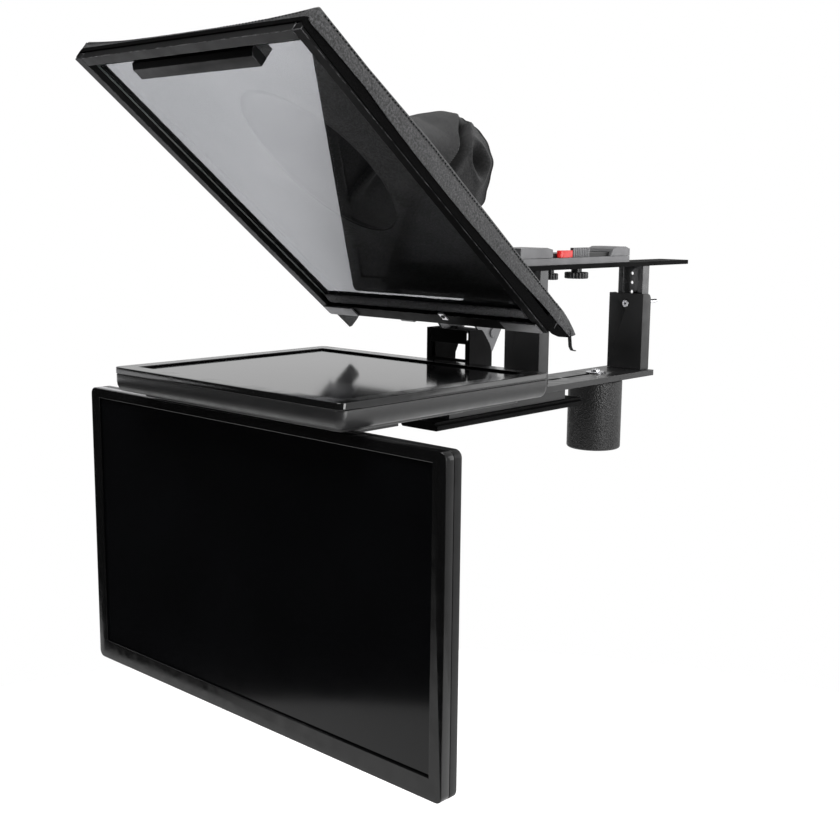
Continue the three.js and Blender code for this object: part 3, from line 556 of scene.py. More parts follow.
def make_card():
    """A glowing card over the talent monitor's left corner, seen by reflections only: it paints a pale reflection in
    the glass.

    Without it the glass mirrors that corner as a dark patch."""
    (left, right), (front, rear) = CARD_X, CARD_Y
    sheet = [[(x, y, CARD_Z + lift) for x, y in ((left, front), (right, front), (right, rear), (left, rear))]
             for lift in (0.0, 0.001)]
    card = linked("studio_card", loft("studio_card", sheet))
    glow = glowing("studio_card", 1.0, grey(0.8), grey(0.85))
    glow.shader.inputs["Emission Strength"].default_value = 0.52
    card.data.materials.append(glow.material)
    card.visible_camera = card.visible_diffuse = card.visible_shadow = card.visible_transmission = False


def make_world():
    """White behind the object for the camera; for everything else, light that grows towards the rear."""
    world = bpy.data.worlds.new("studio")
    bpy.context.scene.world = world
    world.use_nodes = True
    tree = world.node_tree
    tree.nodes.clear()

    def node(kind, **values):
        made = tree.nodes.new("ShaderNode" + kind)
        for key, value in values.items():
            made.inputs[key.replace("_", " ")].default_value = value
        return made

    split = node("SeparateXYZ")
    tree.links.new(node("TexCoord").outputs["Generated"], split.inputs["Vector"])
    lean = node("MapRange", From_Min=-0.1, From_Max=0.6, To_Min=0.02, To_Max=0.8)
    lean.interpolation_type = "SMOOTHSTEP"
    tree.links.new(split.outputs["Y"], lean.inputs["Value"])
    around = node("Background", Color=(1, 1, 1, 1))
    tree.links.new(lean.outputs["Result"], around.inputs["Strength"])
    white = node("Background", Color=(1, 1, 1, 1), Strength=1.0)
    mix = node("MixShader")
    tree.links.new(node("LightPath").outputs["Is Camera Ray"], mix.inputs["Fac"])
    tree.links.new(around.outputs["Background"], mix.inputs[1])
    tree.links.new(white.outputs["Background"], mix.inputs[2])
    tree.links.new(mix.outputs["Shader"], node("OutputWorld").inputs["Surface"])
    bpy.context.scene.view_settings.view_transform = "Standard"


def make_floor():
    """A round floor that glows less near the object, to darken its undersides."""
    rings = [[(r * math.cos(a), r * math.sin(a) - 0.1, FLOOR_Z) for a in full_turn(64)] for r in (0.001, 2.6)]
    floor = linked("floor", loft("floor", rings, caps=False))
    paint = glowing("studio_floor", 0.8, (0.86, 0.86, 0.86), (0.9, 0.9, 0.9))
    away = paint.node("ShaderNodeVectorMath", operation="DISTANCE")
    paint.link(paint.place, away.inputs[0])
    away.inputs[1].default_value = (0.1, -0.4, FLOOR_Z)
    paint.link(paint.span(away.outputs["Value"], 0.1, 0.72, 0.6, 1.2), paint.shader.inputs["Emission Strength"])
    floor.data.materials.append(paint.material)


def studio():
    make_camera()
    make_softbox("key_softbox", (2.5, -0.25, 0.5), (0, -0.15, 0.1), (1.3, 1.5), 52)
    make_softbox("rear_softbox", (1.7, 2.2, 0.6), (0, 0, 0.1), (1.6, 1.6), 16)
    make_softbox("top_softbox", (0.1, -1.3, 2.1), (0, -0.3, 0.3), (1.5, 1.1), 60)
    make_card()
    make_world()
    make_floor()


# ---- mirror hood and sleeve --------------------------------------------------------------------
HALF = 178.6
TOP = 423.6
BOTTOM = -39.6
MIDDLE = 190.0
HALF_HEIGHT = 232.0
EDGE_ROLL = 2.0
TAPE_AT = HALF - 2.75
SLEEVE_Z = 308.0
SLEEVE_ROOT = 70.5


def along(table, value):
    """Straight-line interpolation in a table of (place, value) rows that rise by place."""
    if value <= table[0][0]:
        return table[0][1]
    for (a, va), (b, vb) in zip(table, table[1:]):
        if value <= b:
            return va + (vb - va) * (value - a) / (b - a)
    return table[-1][1]


def ease(low, high, value):
    t = max(0.0, min(1.0, (value - low) / (high - low)))
    return t * t * (3 - 2 * t)


def bump_at(value, centre, width):
    return math.exp(-((value - centre) / width) ** 2)


# How far out from the glass the cloth starts and ends, up each side; it wanders as sewn cloth does.
SIDE_NEAR = [(-40, 17.3), (-20, 17), (0, 16.3), (50, 13), (100, 11), (150, 9.3), (200, 9), (250, 9.2), (300, 10.6),
             (340, 12.6), (370, 12), (400, 11), (424, 9.5)]
SIDE_FAR = [(-40, 33.4), (240, 33.8), (300, 31.4), (345, 29.5), (424, 28.6)]
TAPE_NEAR = [(-34, 1.6), (250, 0.7), (300, 1.0), (340, 1.6), (390, 2.2), (424, 3.2)]


def top_far(x):
    return 17.8 + 8.2 * abs(x / HALF) ** 2.6


def back_at(x, s):
    """Height of the hood's back over the glass; its top edge is drawn in towards the middle."""
    sag = (28.6 - top_far(x)) * ease(335, TOP, s)
    return along(SIDE_FAR, s) - sag + 0.3


def perimeter():
    """The hood's rounded rectangle in (x, s), going round once, with the outward direction at each point."""
    path = []
    corners = [(1, BOTTOM, 2.0), (1, TOP, 4.0), (-1, TOP, 7.0), (-1, BOTTOM, 2.0)]
    for i, (side, s, radius) in enumerate(corners):
        cx, cs = side * (HALF - radius), s - math.copysign(radius, s - MIDDLE)
        for k in range(7):
            angle = math.radians(-90 + 90 * i + 15 * k)
            path.append((cx + radius * math.cos(angle), cs + radius * math.sin(angle), math.cos(angle),
                         math.sin(angle)))
        next_side, next_s, next_radius = corners[(i + 1) % 4]
        nx, ns = next_side * (HALF - next_radius), next_s - math.copysign(next_radius, next_s - MIDDLE)
        steps = 90 if i % 2 == 0 else 60
        angle = math.radians(90 * i)
        ox, os = math.cos(angle), math.sin(angle)
        ax, as_, bx, bs = cx + radius * ox, cs + radius * os, nx + next_radius * ox, ns + next_radius * os
        for k in range(1, steps):
            t = k / steps
            path.append((ax + (bx - ax) * t, as_ + (bs - as_) * t, ox, os))
    return path


def sleeve_point(y, angle, radius):
    """A point round the level lens axis."""
    return Vector((radius * math.sin(angle), y, SLEEVE_Z + radius * math.cos(angle))) * MM


def on_back(x, z):
    """Where the level line at (x, z) meets the hood's back: its slope coordinate s."""
    low, high = BOTTOM, TOP
    for _ in range(30):
        middle = (low + high) / 2
        if on_mirror(x, middle, back_at(x, middle)).z / MM < z:
            low = middle
        else:
            high = middle
    return low


def crease(x, s, scale, seed):
    return noise.noise(Vector((x / scale, s / scale, seed)))


def band_swell(x, s, t):
    """How far the band's cloth stands off the frame at share t of its width."""
    swell = math.sin(math.pi * t)
    out = 0.7 * swell + 0.7 * crease(x * 1.3, s, 30, 3.0) * swell + 0.35 * crease(x, s, 9, 5.0) * swell
    return 0.2 + out + 0.15 * bump_at(t, 0.96, 0.04) - 0.35 * bump_at(t, 0.86, 0.035)


def make_hood():
    """One continuous sheet: a band round the four sides, a rolled edge, and the back in to the sleeve."""
    loop = perimeter()
    rings = []

    def band_limits(x, s, os):
        share = max(0.0, os) ** 2
        near = along(SIDE_NEAR, s) * (1 - share) + (11.6 + 0.8 * x / HALF) * share
        far = along(SIDE_FAR, s) * (1 - share) + top_far(x) * share
        if os < -0.5:
            near = 9.0
        return near, far

    for step in range(21):
        t = step / 20
        ring = []
        for x, s, ox, os in loop:
            near, far = band_limits(x, s, os)
            n = near + (far - EDGE_ROLL - near) * t
            out = band_swell(x, s, t)
            ring.append(on_mirror(x + ox * out, s + os * out, n))
        rings.append(ring)
    for angle in (30, 60, 90):
        turn = math.radians(angle)
        ring = []
        for x, s, ox, os in loop:
            pull = EDGE_ROLL * (1 - math.cos(turn)) - 0.2
            far = band_limits(x, s, os)[1]
            ring.append(on_mirror(x - ox * pull, s - os * pull, far - EDGE_ROLL + EDGE_ROLL * math.sin(turn)))
        rings.append(ring)
    holes = []
    for x, s, ox, os in loop:
        wide = math.atan2(x / HALF, (s - MIDDLE) / HALF_HEIGHT)
        hx = SLEEVE_ROOT * math.sin(wide)
        holes.append((hx, on_back(hx, SLEEVE_Z + SLEEVE_ROOT * math.cos(wide))))
    for step in range(1, 21):
        t = step / 20
        ring = []
        for (x, s, ox, os), (hx, hs) in zip(loop, holes):
            px, ps = x - ox * 1.8, s - os * 1.8
            bx, bs = px + (hx - px) * t, ps + (hs - ps) * t
            start = band_limits(x, s, os)[1]
            level = start * (1 - ease(0, 0.25, t)) + back_at(bx, bs) * ease(0, 0.25, t)
            angle = math.atan2(bx, bs - MIDDLE)
            pull = bump_at(1 - t, 0, 0.35)
            folds = 1.2 * pull * (1 - pull * 0.55) * math.sin(angle * 11 + 1.4 * crease(bx, bs, 60, 8.0))
            sag = -1.3 * math.sin(math.pi * t)
            fade = min(1.0, 6 * t) * (1 - ease(0.93, 1, t))
            ring.append(on_mirror(bx, bs, level + (folds + sag + 0.8 * crease(bx, bs, 45, 1.0)) * fade))
        rings.append(ring)
    mesh = loft("hood_shell", rings, caps=False)
    level = Matrix.Rotation(TILT, 3, "X")

    def flat_at(polygon, co):
        facing, place = level @ polygon.normal, level @ co
        if abs(facing.x) > 0.7:
            return place.y, place.z
        return (place.x, place.z) if abs(facing.y) > 0.7 else (place.x, place.y)

    lay_flat(mesh, flat_at)
    hood = piece("hood_shell", mesh, LOOKS["hood_fabric"], "mirror_unit",
                 ["hood_left_panel", "hood_right_panel", "hood_top_panel", "hood_bottom_panel", "hood_back_panel"])
    thicken(hood, 0.9, 1.0)


def thicken(obj, thickness, offset=0.0):
    skin = obj.modifiers.new("cloth", "SOLIDIFY")
    skin.thickness = thickness * MM
    skin.offset = offset
    frozen(obj)
    smooth(obj.data, 60)


def side_sheet(name, side, offset, table, thickness, slot, curl):
    """A strip hanging in the plane of the hood's side; table rows are (s, near n, far n)."""
    lows = [(-s, near) for s, near, _ in table]
    highs = [(-s, far) for s, _, far in table]
    top, end = table[0][0], table[-1][0]
    rings = []
    for i in range(25):
        s = top + (end - top) * i / 24
        near, far = along(lows, -s), along(highs, -s)
        t = ease(-38, -84, s)
        ring = []
        for j in range(11):
            q = j / 10
            n = near + (far - near) * q
            bow = 0.5 * math.sin(math.pi * q) + 0.5 * crease(s, n, 14, side * 4.0 + offset)
            ring.append(on_mirror(side * (HALF + offset + bow * min(1, i / 6) - curl * t * (1 - 0.4 * q)), s, n))
        rings.append(ring)
    mesh = loft(name, rings, caps=False, wrap=False)
    lay_flat(mesh, lambda polygon, co: (co.y, co.z))
    obj = piece(name, mesh, LOOKS[slot], "mirror_unit")
    thicken(obj, thickness)


def make_tails():
    """The flaps where the side bands run on below the hood, and the hook strip sewn inside the right one."""
    side_sheet("hood_tail_right", 1, -0.7, [(-24, 17.2, 33.2), (-41, 17.3, 33), (-56.8, 18.4, 32), (-71, 19.4, 29.4),
                                            (-77.6, 26.0, 27.4)],
               1.0, "hood_fabric", curl=2.0)
    side_sheet("hood_tail_left", -1, -0.7, [(-24, 17.2, 33.2), (-37.2, 16, 33), (-38.5, 9, 32.8), (-44.6, 7.8, 32.4),
                                            (-60, 7.4, 31.5), (-79.5, 7.1, 31.3), (-82.5, 24, 31.2)],
               1.0, "hood_fabric", curl=1.0)
    side_sheet("hook_strip_end_right", 1, -1.9, [(-22, 4, 19), (-36.6, 2.6, 19), (-41, 3, 20), (-53.3, 7.3, 21),
                                                 (-71, 18.6, 21.5), (-74, 21, 22)],
               0.9, "tape_fabric", curl=1.6)


def make_stitches():
    """Rows of thread along the band's outer edge."""
    bm = bmesh.new()

    def stitch(a, b, out):
        along_it = (b - a).normalized()
        side = along_it.cross(out).normalized() * 0.8 * MM
        up = out.normalized() * 0.45 * MM
        step = along_it * 0.0004
        points = [a - up, a + step + side, a + step + up, a + step - side,
                  b - step + side, b - step + up, b - step - side, b - up]
        verts = [bm.verts.new(p) for p in points]
        for face in ((0, 1, 2), (0, 2, 3), (0, 3, 1), (1, 4, 5, 2), (2, 5, 6, 3), (3, 6, 4, 1), (7, 5, 4), (7, 6, 5),
                     (7, 4, 6)):
            bm.faces.new([verts[i] for i in face])

    pitch, length = 4.4, 2.3
    for side in (-1, 1):
        s = BOTTOM + 6
        while s < TOP - 10:
            a, b = (on_mirror(side * (HALF + 1.0 + band_swell(side * HALF, q, 0.9)), q,
                              along(SIDE_NEAR, q) * 0.1 + (along(SIDE_FAR, q) - EDGE_ROLL) * 0.9)
                    for q in (s, s + length))
            stitch(a, b, Vector((side, 0, 0)))
            s += pitch
    out = on_mirror(0, 1, 0) - on_mirror(0, 0, 0)
    x = -HALF + 10
    while x < HALF - 10:
        a, b = (on_mirror(q, TOP + 1.0 + band_swell(q, TOP, 0.75), 2.9 + (top_far(q) - EDGE_ROLL) * 0.75)
                for q in (x, x + length))
        stitch(a, b, out)
        x += pitch
    bmesh.ops.recalc_face_normals(bm, faces=bm.faces)
    mesh = mesh_from(bm, "hood_stitching")
    smooth(mesh, 60)
    piece("hood_stitching", mesh, THREAD, "mirror_unit")


def tube(points, radius, sides=10, flat=1.0, up=Vector((0, 0, 1))):
    """A closed tube or strap along points in metres; flat squeezes its section."""
    rings = []
    for i, point in enumerate(points):
        ahead = (points[min(i + 1, len(points) - 1)] - points[max(i - 1, 0)]).normalized()
        side = ahead.cross(up).normalized()
        top = side.cross(ahead)
        rings.append([point + (side * math.cos(a) * flat + top * math.sin(a)) * radius * MM
                      for a in full_turn(sides)])
    return loft("tube", rings)


def make_hood_trim():
    cords = []
    for side in (-1, 1):
        for shift in (0.0, 3.4):
            cord = [on_mirror(side * (HALF - 0.4 - shift + 0.25 * math.sin(1.3 * i)), TOP - 0.3 - 2.4 * (shift == 0.0),
                              10.5 + 12.5 * i / 12) for i in range(13)]
            cords.append(tube(cord, 1.15, 10))
    joined("hood_corner_piping", cords, LOOKS["hood_fabric"], "mirror_unit")
    strap = [on_mirror(176, -64, 25.5), on_mirror(176, -70, 21.5), on_mirror(175.6, -75, 17.5),
             on_mirror(175.2, -81, 12.6), on_mirror(175.4, -86, 11.2), on_mirror(176.5, -90, 13.2)]
    fine = [strap[i].lerp(strap[i + 1], k / 4) for i in range(len(strap) - 1) for k in range(4)] + [strap[-1]]
    joined("hood_pull_strap", [tube(fine, 2.5, 10, 0.3, Vector((1, 0, 0)))], WEBBING, "mirror_unit")


def make_tapes():
    """The hook tape on the frame's outer faces and the piled seal along the foot of the glass."""
    rings = []
    random.seed(11)
    climb = [-34 + (424 - -34) * i / 110 for i in range(111)]
    rim = [(TAPE_AT, s, "side") for s in climb]
    rim += [(TAPE_AT - 2 * TAPE_AT * i / 90, TOP + 0.8, "top") for i in range(1, 90)]
    rim += [(-TAPE_AT, s, "side") for s in reversed(climb)]
    for x, s, kind in rim:
        near = along(TAPE_NEAR, s) if kind == "side" else 8.2
        points = []
        for n, thick in ((near, 0.1), (near + 0.3, 1.0), (9.5, 1.25), (13.6, 1.1), (14, 0.1)):
            rough = thick + random.uniform(-0.12, 0.12)
            if kind == "side":
                points.append(on_mirror(math.copysign(abs(x) + rough, x), s, n))
            else:
                points.append(on_mirror(x, s + rough, n))
        for n in (13.9, near + 0.1):
            points.append(on_mirror(x, s, n))
        rings.append(points)
    mesh = loft("loop_tape_band", rings)
    smooth(mesh, 50)
    piece("loop_tape_band", mesh, LOOKS["tape_fabric"], "mirror_unit", ["hook_tape"])

    seal = []
    random.seed(7)
    for i in range(201):
        x = -157.5 + 315 * i / 200
        high = 0.4 + 1.6 * crease(x, 0, 70, 2.0)
        low = -17.0
        ring = []
        for a in full_turn(16):
            s = (low + high) / 2 + (high - low) / 2 * math.cos(a) + random.uniform(-0.6, 0.6)
            ring.append(on_mirror(x, s, min(5.3 + 2.3 * math.sin(a) + random.uniform(-0.45, 0.2), 7.6)))
        seal.append(ring)
    mesh = loft("fuzzy_light_seal", seal)
    smooth(mesh, 70)
    piece("fuzzy_light_seal", mesh, SEAL_FUZZ, "mirror_unit", ["bottom_light_seal"])


# The fold's place along the lens axis by angle from the top, and the sleeve's height along its crown.
FOLD_LINE = [(0, -98), (15, -108), (29, -124), (45, -142), (56, -153), (68, -160), (75, -166), (82, -175),
             (110, -215)]
SLEEVE_MOUTH = -95.0
SLEEVE_WRAP = 0.07  # metres of cloth to a radian of turn, for the weave
SLEEVE_CROWN = [(-310, 66), (-250, 60), (-204, 55), (-168, 57), (-144, 62.5), (-120, 67), (-108, 66), (-97, 61)]


def sleeve_fold(y, degrees):
    """The sleeve's cloth: smooth from the hood to a diagonal fold, a deep valley, then a pocketed lobe.

    Gives the radius and a shift along the axis, so that the fold hangs over its valley."""
    radius, shift = 70.2 - 1.6 * bump_at(y, -215, 50), 0.0
    off_top = min(degrees, 360 - degrees)
    radius += (along(SLEEVE_CROWN, y) - radius) * (1 - ease(28, 78, off_top))
    taper = ease(-128, SLEEVE_MOUTH, y)
    radius -= 9.0 * taper * ease(28, 78, off_top)
    for turned_by, side_of, strength in ((0, 1, 1.0), (12, -1, 0.75)):
        angle = (degrees * side_of - turned_by) % 360
        if angle < 130:
            window = strength * ease(12, 36, angle) * (1 - ease(86, 118, angle))
            past = y - along(FOLD_LINE, angle)
            radius += window * 2.2 * bump_at(past, -2, 6)
            radius -= window * 17.0 * ease(0, 4, past) * (1 - ease(10, 26, past))
            radius -= window * 2.5 * bump_at(past, 42, 11)
            shift += window * (4.5 * bump_at(past, -3, 5) - 4.0 * bump_at(past, 8, 5))
            across = (angle - 82) / 15
            down = (y + 121 - 0.10 * (angle - 82)) / 12.5
            reach = math.sqrt(across * across + down * down)
            radius -= strength * (20 * math.exp(-reach ** 3) - 2.6 * bump_at(reach, 1.4, 0.28) * ease(45, 70, angle))
    around = math.radians(degrees)
    radius += taper * (0.9 * math.sin(9 * around + 0.8) + 0.6 * math.sin(17 * around + 2))
    radius += 0.9 * noise.noise(Vector((2.2 * math.cos(around), 2.2 * math.sin(around), y / 30)))
    radius += 0.7 * math.sin(4 * around + y / 37 + 1) * ease(-330, -250, y)
    return radius, shift


def cord_round(points, radius, sides):
    """A cord along a closed ring of points round the lens axis."""
    count = len(points)
    rings = []
    for j in range(count + 1):
        angle = 2 * math.pi * (j % count) / count
        outward = Vector((math.sin(angle), 0, math.cos(angle)))
        rings.append([points[j % count] + (outward * math.cos(a) + Vector((0, 1, 0)) * math.sin(a)) * radius * MM
                      for a in full_turn(sides)])
    return loft("cord", rings, caps=False)


def make_sleeve():
    """The lens sleeve: sewn round the hood's back opening and held to the lens by an elastic hem."""
    count, length = 200, 130
    rings = []
    for i in range(length + 1):
        t = i / length
        ring = []
        for j in range(count):
            degrees = 360 * j / count
            angle = math.radians(degrees)
            sx = SLEEVE_ROOT * math.sin(angle)
            start_s = on_back(sx, SLEEVE_Z + SLEEVE_ROOT * math.cos(angle))
            start = on_mirror(sx, start_s, back_at(sx, start_s)).y / MM - 1.0
            y = start + (SLEEVE_MOUTH - start) * (1 - (1 - t) ** 1.25)
            root = 1 - ease(start, start + 9, y)
            radius, shift = sleeve_fold(y, degrees)
            radius = radius * (1 - root) + (SLEEVE_ROOT + 0.3) * root
            y += shift * (1 - root) + 1.6 * ease(-125, SLEEVE_MOUTH, y) * math.sin(5 * angle + 1)
            ring.append(sleeve_point(y, angle, radius))
        rings.append(ring)
    mesh = loft("lens_sleeve_cloth", rings, caps=False)
    lay_flat(mesh, lambda polygon, co: (math.atan2(co.x, co.z - SLEEVE_Z * MM) * SLEEVE_WRAP, co.y))
    sleeve = piece("lens_sleeve_cloth", mesh, SLEEVE_LOOK, "mirror_unit", ["lens_sleeve"])
    thicken(sleeve, 0.8)
    hem = cord_round(rings[-1], 1.1, 10)
    joined("sleeve_elastic_hem", [hem], SLEEVE_LOOK, "mirror_unit")
    seam = cord_round([point + Vector((0, 0.0015, 0)) for point in rings[0]], 1.3, 8)
    joined("sleeve_seam_cord", [seam], LOOKS["hood_fabric"], "mirror_unit")


def make_glass():
    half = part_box("beamsplitter_glass")[1].x / MM
    near, far, bottom, top = 8.0, 11.0, -8.0, 405.0
    corners = [(-half, bottom), (half, bottom), (half, top), (-half, top)]
    bm = bmesh.new()
    front = [bm.verts.new(on_mirror(x, s, near)) for x, s in corners]
    back = [bm.verts.new(on_mirror(x, s, far)) for x, s in corners]
    bm.faces.new(front).material_index = 0
    bm.faces.new(list(reversed(back))).material_index = 2
    for i in range(4):
        j = (i + 1) % 4
        bm.faces.new((front[j], front[i], back[i], back[j])).material_index = 1
    bmesh.ops.recalc_face_normals(bm, faces=bm.faces)
    mesh = mesh_from(bm, "beamsplitter_plate")
    clear = Paint("clear_glass_back", Metallic=0.0, Roughness=0.0, Specular_IOR_Level=0.5)
    clear.colour(clear.ramp(clear.noise(6, 4), [(0.3, grey(0.01)), (0.7, grey(0.02))]))
    clear.link(clear.span(clear.noise(5, 4), 0.05, 0.07), clear.shader.inputs["Alpha"])
    for material in (LOOKS["mirror_glass"], EDGE_GLASS, clear.material):
        mesh.materials.append(material)
    piece("beamsplitter_plate", mesh, LOOKS["mirror_glass"], "mirror_unit", ["beamsplitter_glass"])


# ---- knobs, screws and weight ------------------------------------------------------------------
def turning_line(node, axis):
    """The ends of the node's box, and where the line it turns about crosses zero."""
    low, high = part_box(node)
    middle = Vector([(a + b) / 2 for a, b in zip(low, high)])
    middle.x = middle["xyz".index(axis)] = 0.0
    return low, high, middle


def fitting(name, meshes, slot, node, replaces=True):
    """A piece of hardware in a slot's finish, on the body of the CAD node it stands for or belongs to."""
    joined(name, meshes, LOOKS[slot], BODY_OF[node], [node] if replaces else ())


def make_plate_knobs():
    """The two fluted knobs under the camera plate, with their threads."""
    for node, radius, flutes, grip in (("camera_screw", 16.2, 20, 8.6), ("front_plate_screw", 10.4, 14, 8.4)):
        low, high, centre = turning_line(node, "z")
        bottom = low.z / MM
        rim = fluted(radius, 1.5, flutes)
        inner = fluted(radius - 0.9, 1.2, flutes)
        body = turned(node, "z", centre, [
            (bottom + 1.2, radius * 0.3), (bottom + 1.2, radius * 0.62), (bottom, radius * 0.68), (bottom, inner),
            (bottom + 0.9, rim), (bottom + grip - 0.9, rim), (bottom + grip, inner),
            (bottom + grip, radius * 0.45), (bottom + grip + 5.4, radius * 0.45)], 200)
        shank = 4.7 if node == "camera_screw" else 3.0
        thread = turned(node + "_thread", "z", centre, threaded(shank, bottom + grip + 5.0, high.z / MM))
        fitting(node + "_knob", [body], "black_anodised", node)
        fitting(node + "_thread", [thread], "bare_metal", node, False)


def make_clamp_knobs():
    """The screws that hold the risers at their height."""
    for node in ("front_clamp_screw", "rear_clamp_screw"):
        low, high, centre = turning_line(node, "y")
        start, end = low.y / MM, high.y / MM
        grip_at = start + 26.0
        radius = 9.8
        knob = turned(node, "y", centre, [
            (grip_at, 4.5), (grip_at, radius - 2.4), (grip_at + 0.8, fluted(radius - 0.6, 1.1, 12)),
            (grip_at + 1.6, fluted(radius, 1.3, 12)), (grip_at + 10.4, fluted(radius, 1.3, 12)),
            (grip_at + 11.2, fluted(radius - 0.8, 1.1, 12)), (grip_at + 11.2, 4.4), (grip_at + 12.4, 4.0)], 144)
        fitting(node + "_knob", [knob], "black_anodised", node)
        bolt = turned(node + "_bolt", "y", centre, threaded(3.0, start + 2.0, end - 1.2) + [(end, 2.2)], 40)
        head = turned(node + "_head", "y", centre, [
            (start + 2.4, 5.2), (start + 0.5, 5.2), (start, 4.7), (start, hexagon(3.4)), (start + 1.8, hexagon(3.2)),
            (start + 2.0, 0.5)], 48)
        fitting(node + "_bolt", [bolt, head], "bare_metal", node, False)


def make_counterweight():
    low, high, centre = turning_line("counterweight", "z")
    bottom, top, radius = low.z / MM, high.z / MM, (high.x - low.x) / 2 / MM
    levels = [(bottom + 1.5, 3.0), (bottom + 1.5, 8.0), (bottom, 9.0), (bottom, radius - 3.2)]
    levels += [(bottom + 3.2 - 3.2 * math.cos(a), radius - 3.2 + 3.2 * math.sin(a))
               for a in (math.radians(d) for d in (22, 45, 67, 90))]
    levels += [(top - 3.0 + 3.0 * math.sin(a), radius - 3.0 + 3.0 * math.cos(a))
               for a in (math.radians(d) for d in (0, 22, 45, 67, 90))]
    levels += [(top, 4.4), (top - 28, 4.3)]
    cylinder = turned("counterweight", "z", centre, levels, 128)
    fitting("counterweight_cylinder", [cylinder], "crinkle_black", "counterweight")
    low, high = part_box("counterweight_bolt")
    top = high.z / MM
    washer = turned("washer", "z", centre, [(35.3, 5), (35.3, 13.4), (35.6, 13.9), (36.5, 13.9), (36.8, 13.4),
                                            (36.8, 5)], 72)
    head = turned("head", "z", centre, [(36.0, 6.4)] + socket_levels(6.4, 36.9, top, 5.0, 3.0), 72)
    shank = turned("shank", "z", centre, threaded(4.0, low.z / MM, 36.5, 1.25), 48)
    fitting("counterweight_cap_bolt", [washer, head, shank], "bare_metal", "counterweight_bolt")


def make_bolts():
    """The rail's cap screws, the mirror's pivot and the talent monitor's tilt pin."""
    for node in ("spacer_screw_front", "spacer_screw_rear"):
        low, high, centre = turning_line(node, "z")
        head = turned("head", "z", centre, socket_levels(7.0, 35.3, high.z / MM, 5.0, 2.4), 72)
        shank = turned("shank", "z", centre, threaded(4.0, low.z / MM, 35.6, 1.25), 48)
        fitting(node + "_cap", [head, shank], "bare_metal", node)

    low, high, centre = turning_line("mirror_pivot_bolt", "x")
    head = turned("head", "x", centre, [(31.7, 3.0), (31.7, 6.0), (33.3, 6.0), (33.9, 5.4), (33.9, 0.4)], 72)
    shank = turned("shank", "x", centre, threaded(4.0, -36.3, -30.5, 1.0) + [(-30.0, 4.0), (32.0, 4.0)], 48)
    joined("mirror_pivot_shaft", [head, shank], LOOKS["grey_metal"], "main_frame",
           ["mirror_pivot_bolt"])
    nut = turned("nut", "x", centre, [(-31.7, 4.1), (-31.7, 5.6), (-32.2, hexagon(11.4)), (-35.6, hexagon(11.4)),
                                      (-36.1, 5.6), (-36.1, 4.1)], 96)
    fitting("mirror_pivot_locknut", [nut], "bare_metal", "mirror_pivot_nut")

    low, high, centre = turning_line("talent_tilt_bolt", "x")
    head = turned("head", "x", centre, [(18.4, 6.9)] + socket_levels(6.9, 18.5, 22.4, 5.0, 2.4), 72)
    nut = turned("nut", "x", centre, [(-18.5, 4.1), (-18.5, 6.3), (-19.0, hexagon(12.4)), (-22.0, hexagon(12.4)),
                                      (-22.4, 6.3), (-22.4, 4.1)], 96)
    shank = turned("shank", "x", centre, [(-22.4, 4.0), (18.6, 4.0)], 48)
    fitting("talent_tilt_pin", [head, nut, shank], "bare_metal", "talent_tilt_bolt")


def make_drop_knob():
    low, high, centre = turning_line("drop_lock_knob", "y")
    start, end = low.y / MM, high.y / MM
    knob = turned("drop_lock", "y", centre, [
        (start, 4.0), (start + 5.2, 4.0), (start + 7.2, 9.5), (start + 7.3, fluted(13.0, 1.6, 8)),
        (start + 8.2, fluted(13.9, 1.9, 8)), (end - 1.4, fluted(13.9, 1.9, 8)), (end - 0.3, fluted(12.6, 1.6, 8)),
        (end, 10.0), (end, 5.5), (end - 1.0, 5.0), (end - 1.0, 1.0)], 160)
    fitting("drop_lock_grip", [knob], "black_anodised", "drop_lock_knob")


def make_power_buttons():
    for node, axis in (("prompter_power_button", "x"), ("talent_power_button", "z")):
        low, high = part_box(node)
        centre = (low + high) / 2
        span = (high.x - low.x if axis == "x" else high.z - low.z) / 2 / MM
        radius = (high.y - low.y) / 2 / MM
        cap = turned(node, axis, centre, [(span, radius), (0.6 - span, radius), (0.2 - span, radius - 0.25),
                                          (-span, radius - 0.8), (0.25 - span, 0.4)], 48)
        fitting(node + "_cap", [cap], "satin_plastic", node)


# ---- monitors' own detail ----------------------------------------------------------------------
def ring_of_screws(name, places, radius, top, axis, body, direction=1):
    """Small recessed cross-head screws; top is their outer face along the axis."""
    meshes = []
    for place in places:
        levels = [(top - direction * 1.2, radius * 0.98), (top - direction * 0.25, radius),
                  (top, radius * 0.9), (top, hexagon(radius * 0.9)), (top - direction * 0.7, hexagon(radius * 0.8)),
                  (top - direction * 0.8, 0.2)]
        meshes.append(turned(name, axis, place, levels, 36))
    joined(name, meshes, DARK_STEEL, body)


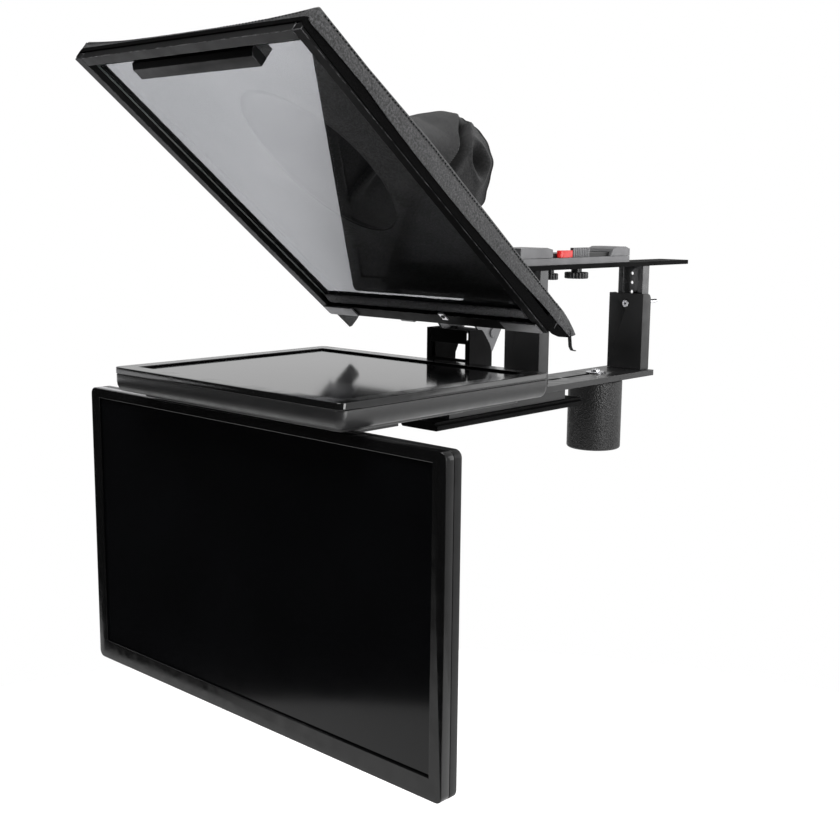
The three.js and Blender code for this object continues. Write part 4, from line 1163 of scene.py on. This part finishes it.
def make_monitor_detail():
    """Screws, vents and sockets on the monitors' backs, which the photo does not show."""
    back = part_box("talent_rear_cover")[1].y / MM
    # The connector bays and vent holes are flat near-black patches on the covers: painted shade standing in for
    # openings.
    slab("talent_connector_bay", (-96, back - 0.6, -196), (-40, back + 0.5, -178), 0.25, RECESS_PAINTED_SHADE,
         "talent_monitor")
    step_back = back - 15.3
    holes = [turned("vent", "y", Vector((x + 5 * (row == 1), 0, 1 - 7 * row)) * MM,
                    [(step_back - 0.4, 2.0), (step_back + 0.4, 2.0), (step_back + 0.4, 0.2)], 16)
             for x in range(-110, 111, 10) for row in range(3)]
    joined("talent_vent_holes", holes, RECESS_PAINTED_SHADE, "talent_monitor")
    ring_of_screws("talent_cover_screws", [Vector((x, 0, z)) * MM for x in (-227, 227) for z in (-237, -4)], 3.2,
                   step_back + 0.8, "y", "talent_monitor")
    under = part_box("prompter_rear_cover")[0].z / MM
    ring_of_screws("prompter_cover_screws", [Vector((x, y, 0)) * MM for x in (-149, 149) for y in (-419, -169)], 3.0,
                   under + 13.2 - 0.8, "z", "main_frame", -1)
    slab("prompter_connector_bay", (92, -250, under - 0.5), (104, -196, under + 0.6), 0.25, RECESS_PAINTED_SHADE,
         "main_frame")


def make_clip():
    """The small bright retaining clip on the front of the frame's bottom rail."""
    rings = []
    for n, inset in ((0.4, 0), (-1.1, 0), (-1.5, 0.5)):
        rings.append([on_mirror(x, s, n) for x, s in ((29 + inset, -25 + inset), (38 - inset, -25 + inset),
                                                      (38 - inset, -12 - inset), (29 + inset, -12 - inset))])
    plate = loft("glass_retaining_clip", rings)
    screw = []
    for n, radius in ((-1.2, 2.6), (-2.2, 2.6), (-2.7, 1.9), (-2.7, 0.3)):
        screw.append([on_mirror(33.5 + radius * math.cos(a), -18.5 + radius * math.sin(a), n)
                      for a in full_turn(28)])
    joined("glass_retaining_clip", [plate], LOOKS["bare_metal"], "mirror_unit")
    joined("glass_retaining_screw", [loft("screw", screw)], DARK_STEEL, "mirror_unit")


# ---- everything --------------------------------------------------------------------------------
REBUILT = {
    "hood_left_panel", "hood_right_panel", "hood_top_panel", "hood_bottom_panel", "hood_back_panel", "lens_sleeve",
    "bottom_light_seal", "hook_tape", "beamsplitter_glass", "camera_screw", "front_plate_screw", "front_clamp_screw",
    "rear_clamp_screw", "counterweight", "counterweight_bolt", "spacer_screw_front", "spacer_screw_rear",
    "mirror_pivot_bolt", "mirror_pivot_nut", "talent_tilt_bolt", "drop_lock_knob", "prompter_power_button",
    "talent_power_button",
}
EASING = {
    "talent_bezel": (0.9, 3), "prompter_bezel": (0.8, 3), "talent_rear_cover": (0.6, 2),
    "prompter_rear_cover": (0.6, 2), "talent_screen": (0.1, 1), "prompter_screen": (0.1, 1),
    "release_lever": (0.9, 3), "front_riser_outer": (0.5, 2), "rear_riser_outer": (0.5, 2),
    "tripod_plate": (0.35, 2), "base_rail": (0.4, 2),
}


def main():
    studio()
    make_hood()
    make_tails()
    make_stitches()
    make_hood_trim()
    make_tapes()
    make_sleeve()
    make_glass()
    make_clip()
    make_plate_knobs()
    make_clamp_knobs()
    make_counterweight()
    make_bolts()
    make_drop_knob()
    make_power_buttons()
    make_monitor_detail()
    for node in sorted(frame["nodes"]):
        if node not in REBUILT:
            width, segments = EASING.get(node, (0.35, 2))
            eased(node, width, segments, material=OWN_LOOK.get(node))


main()
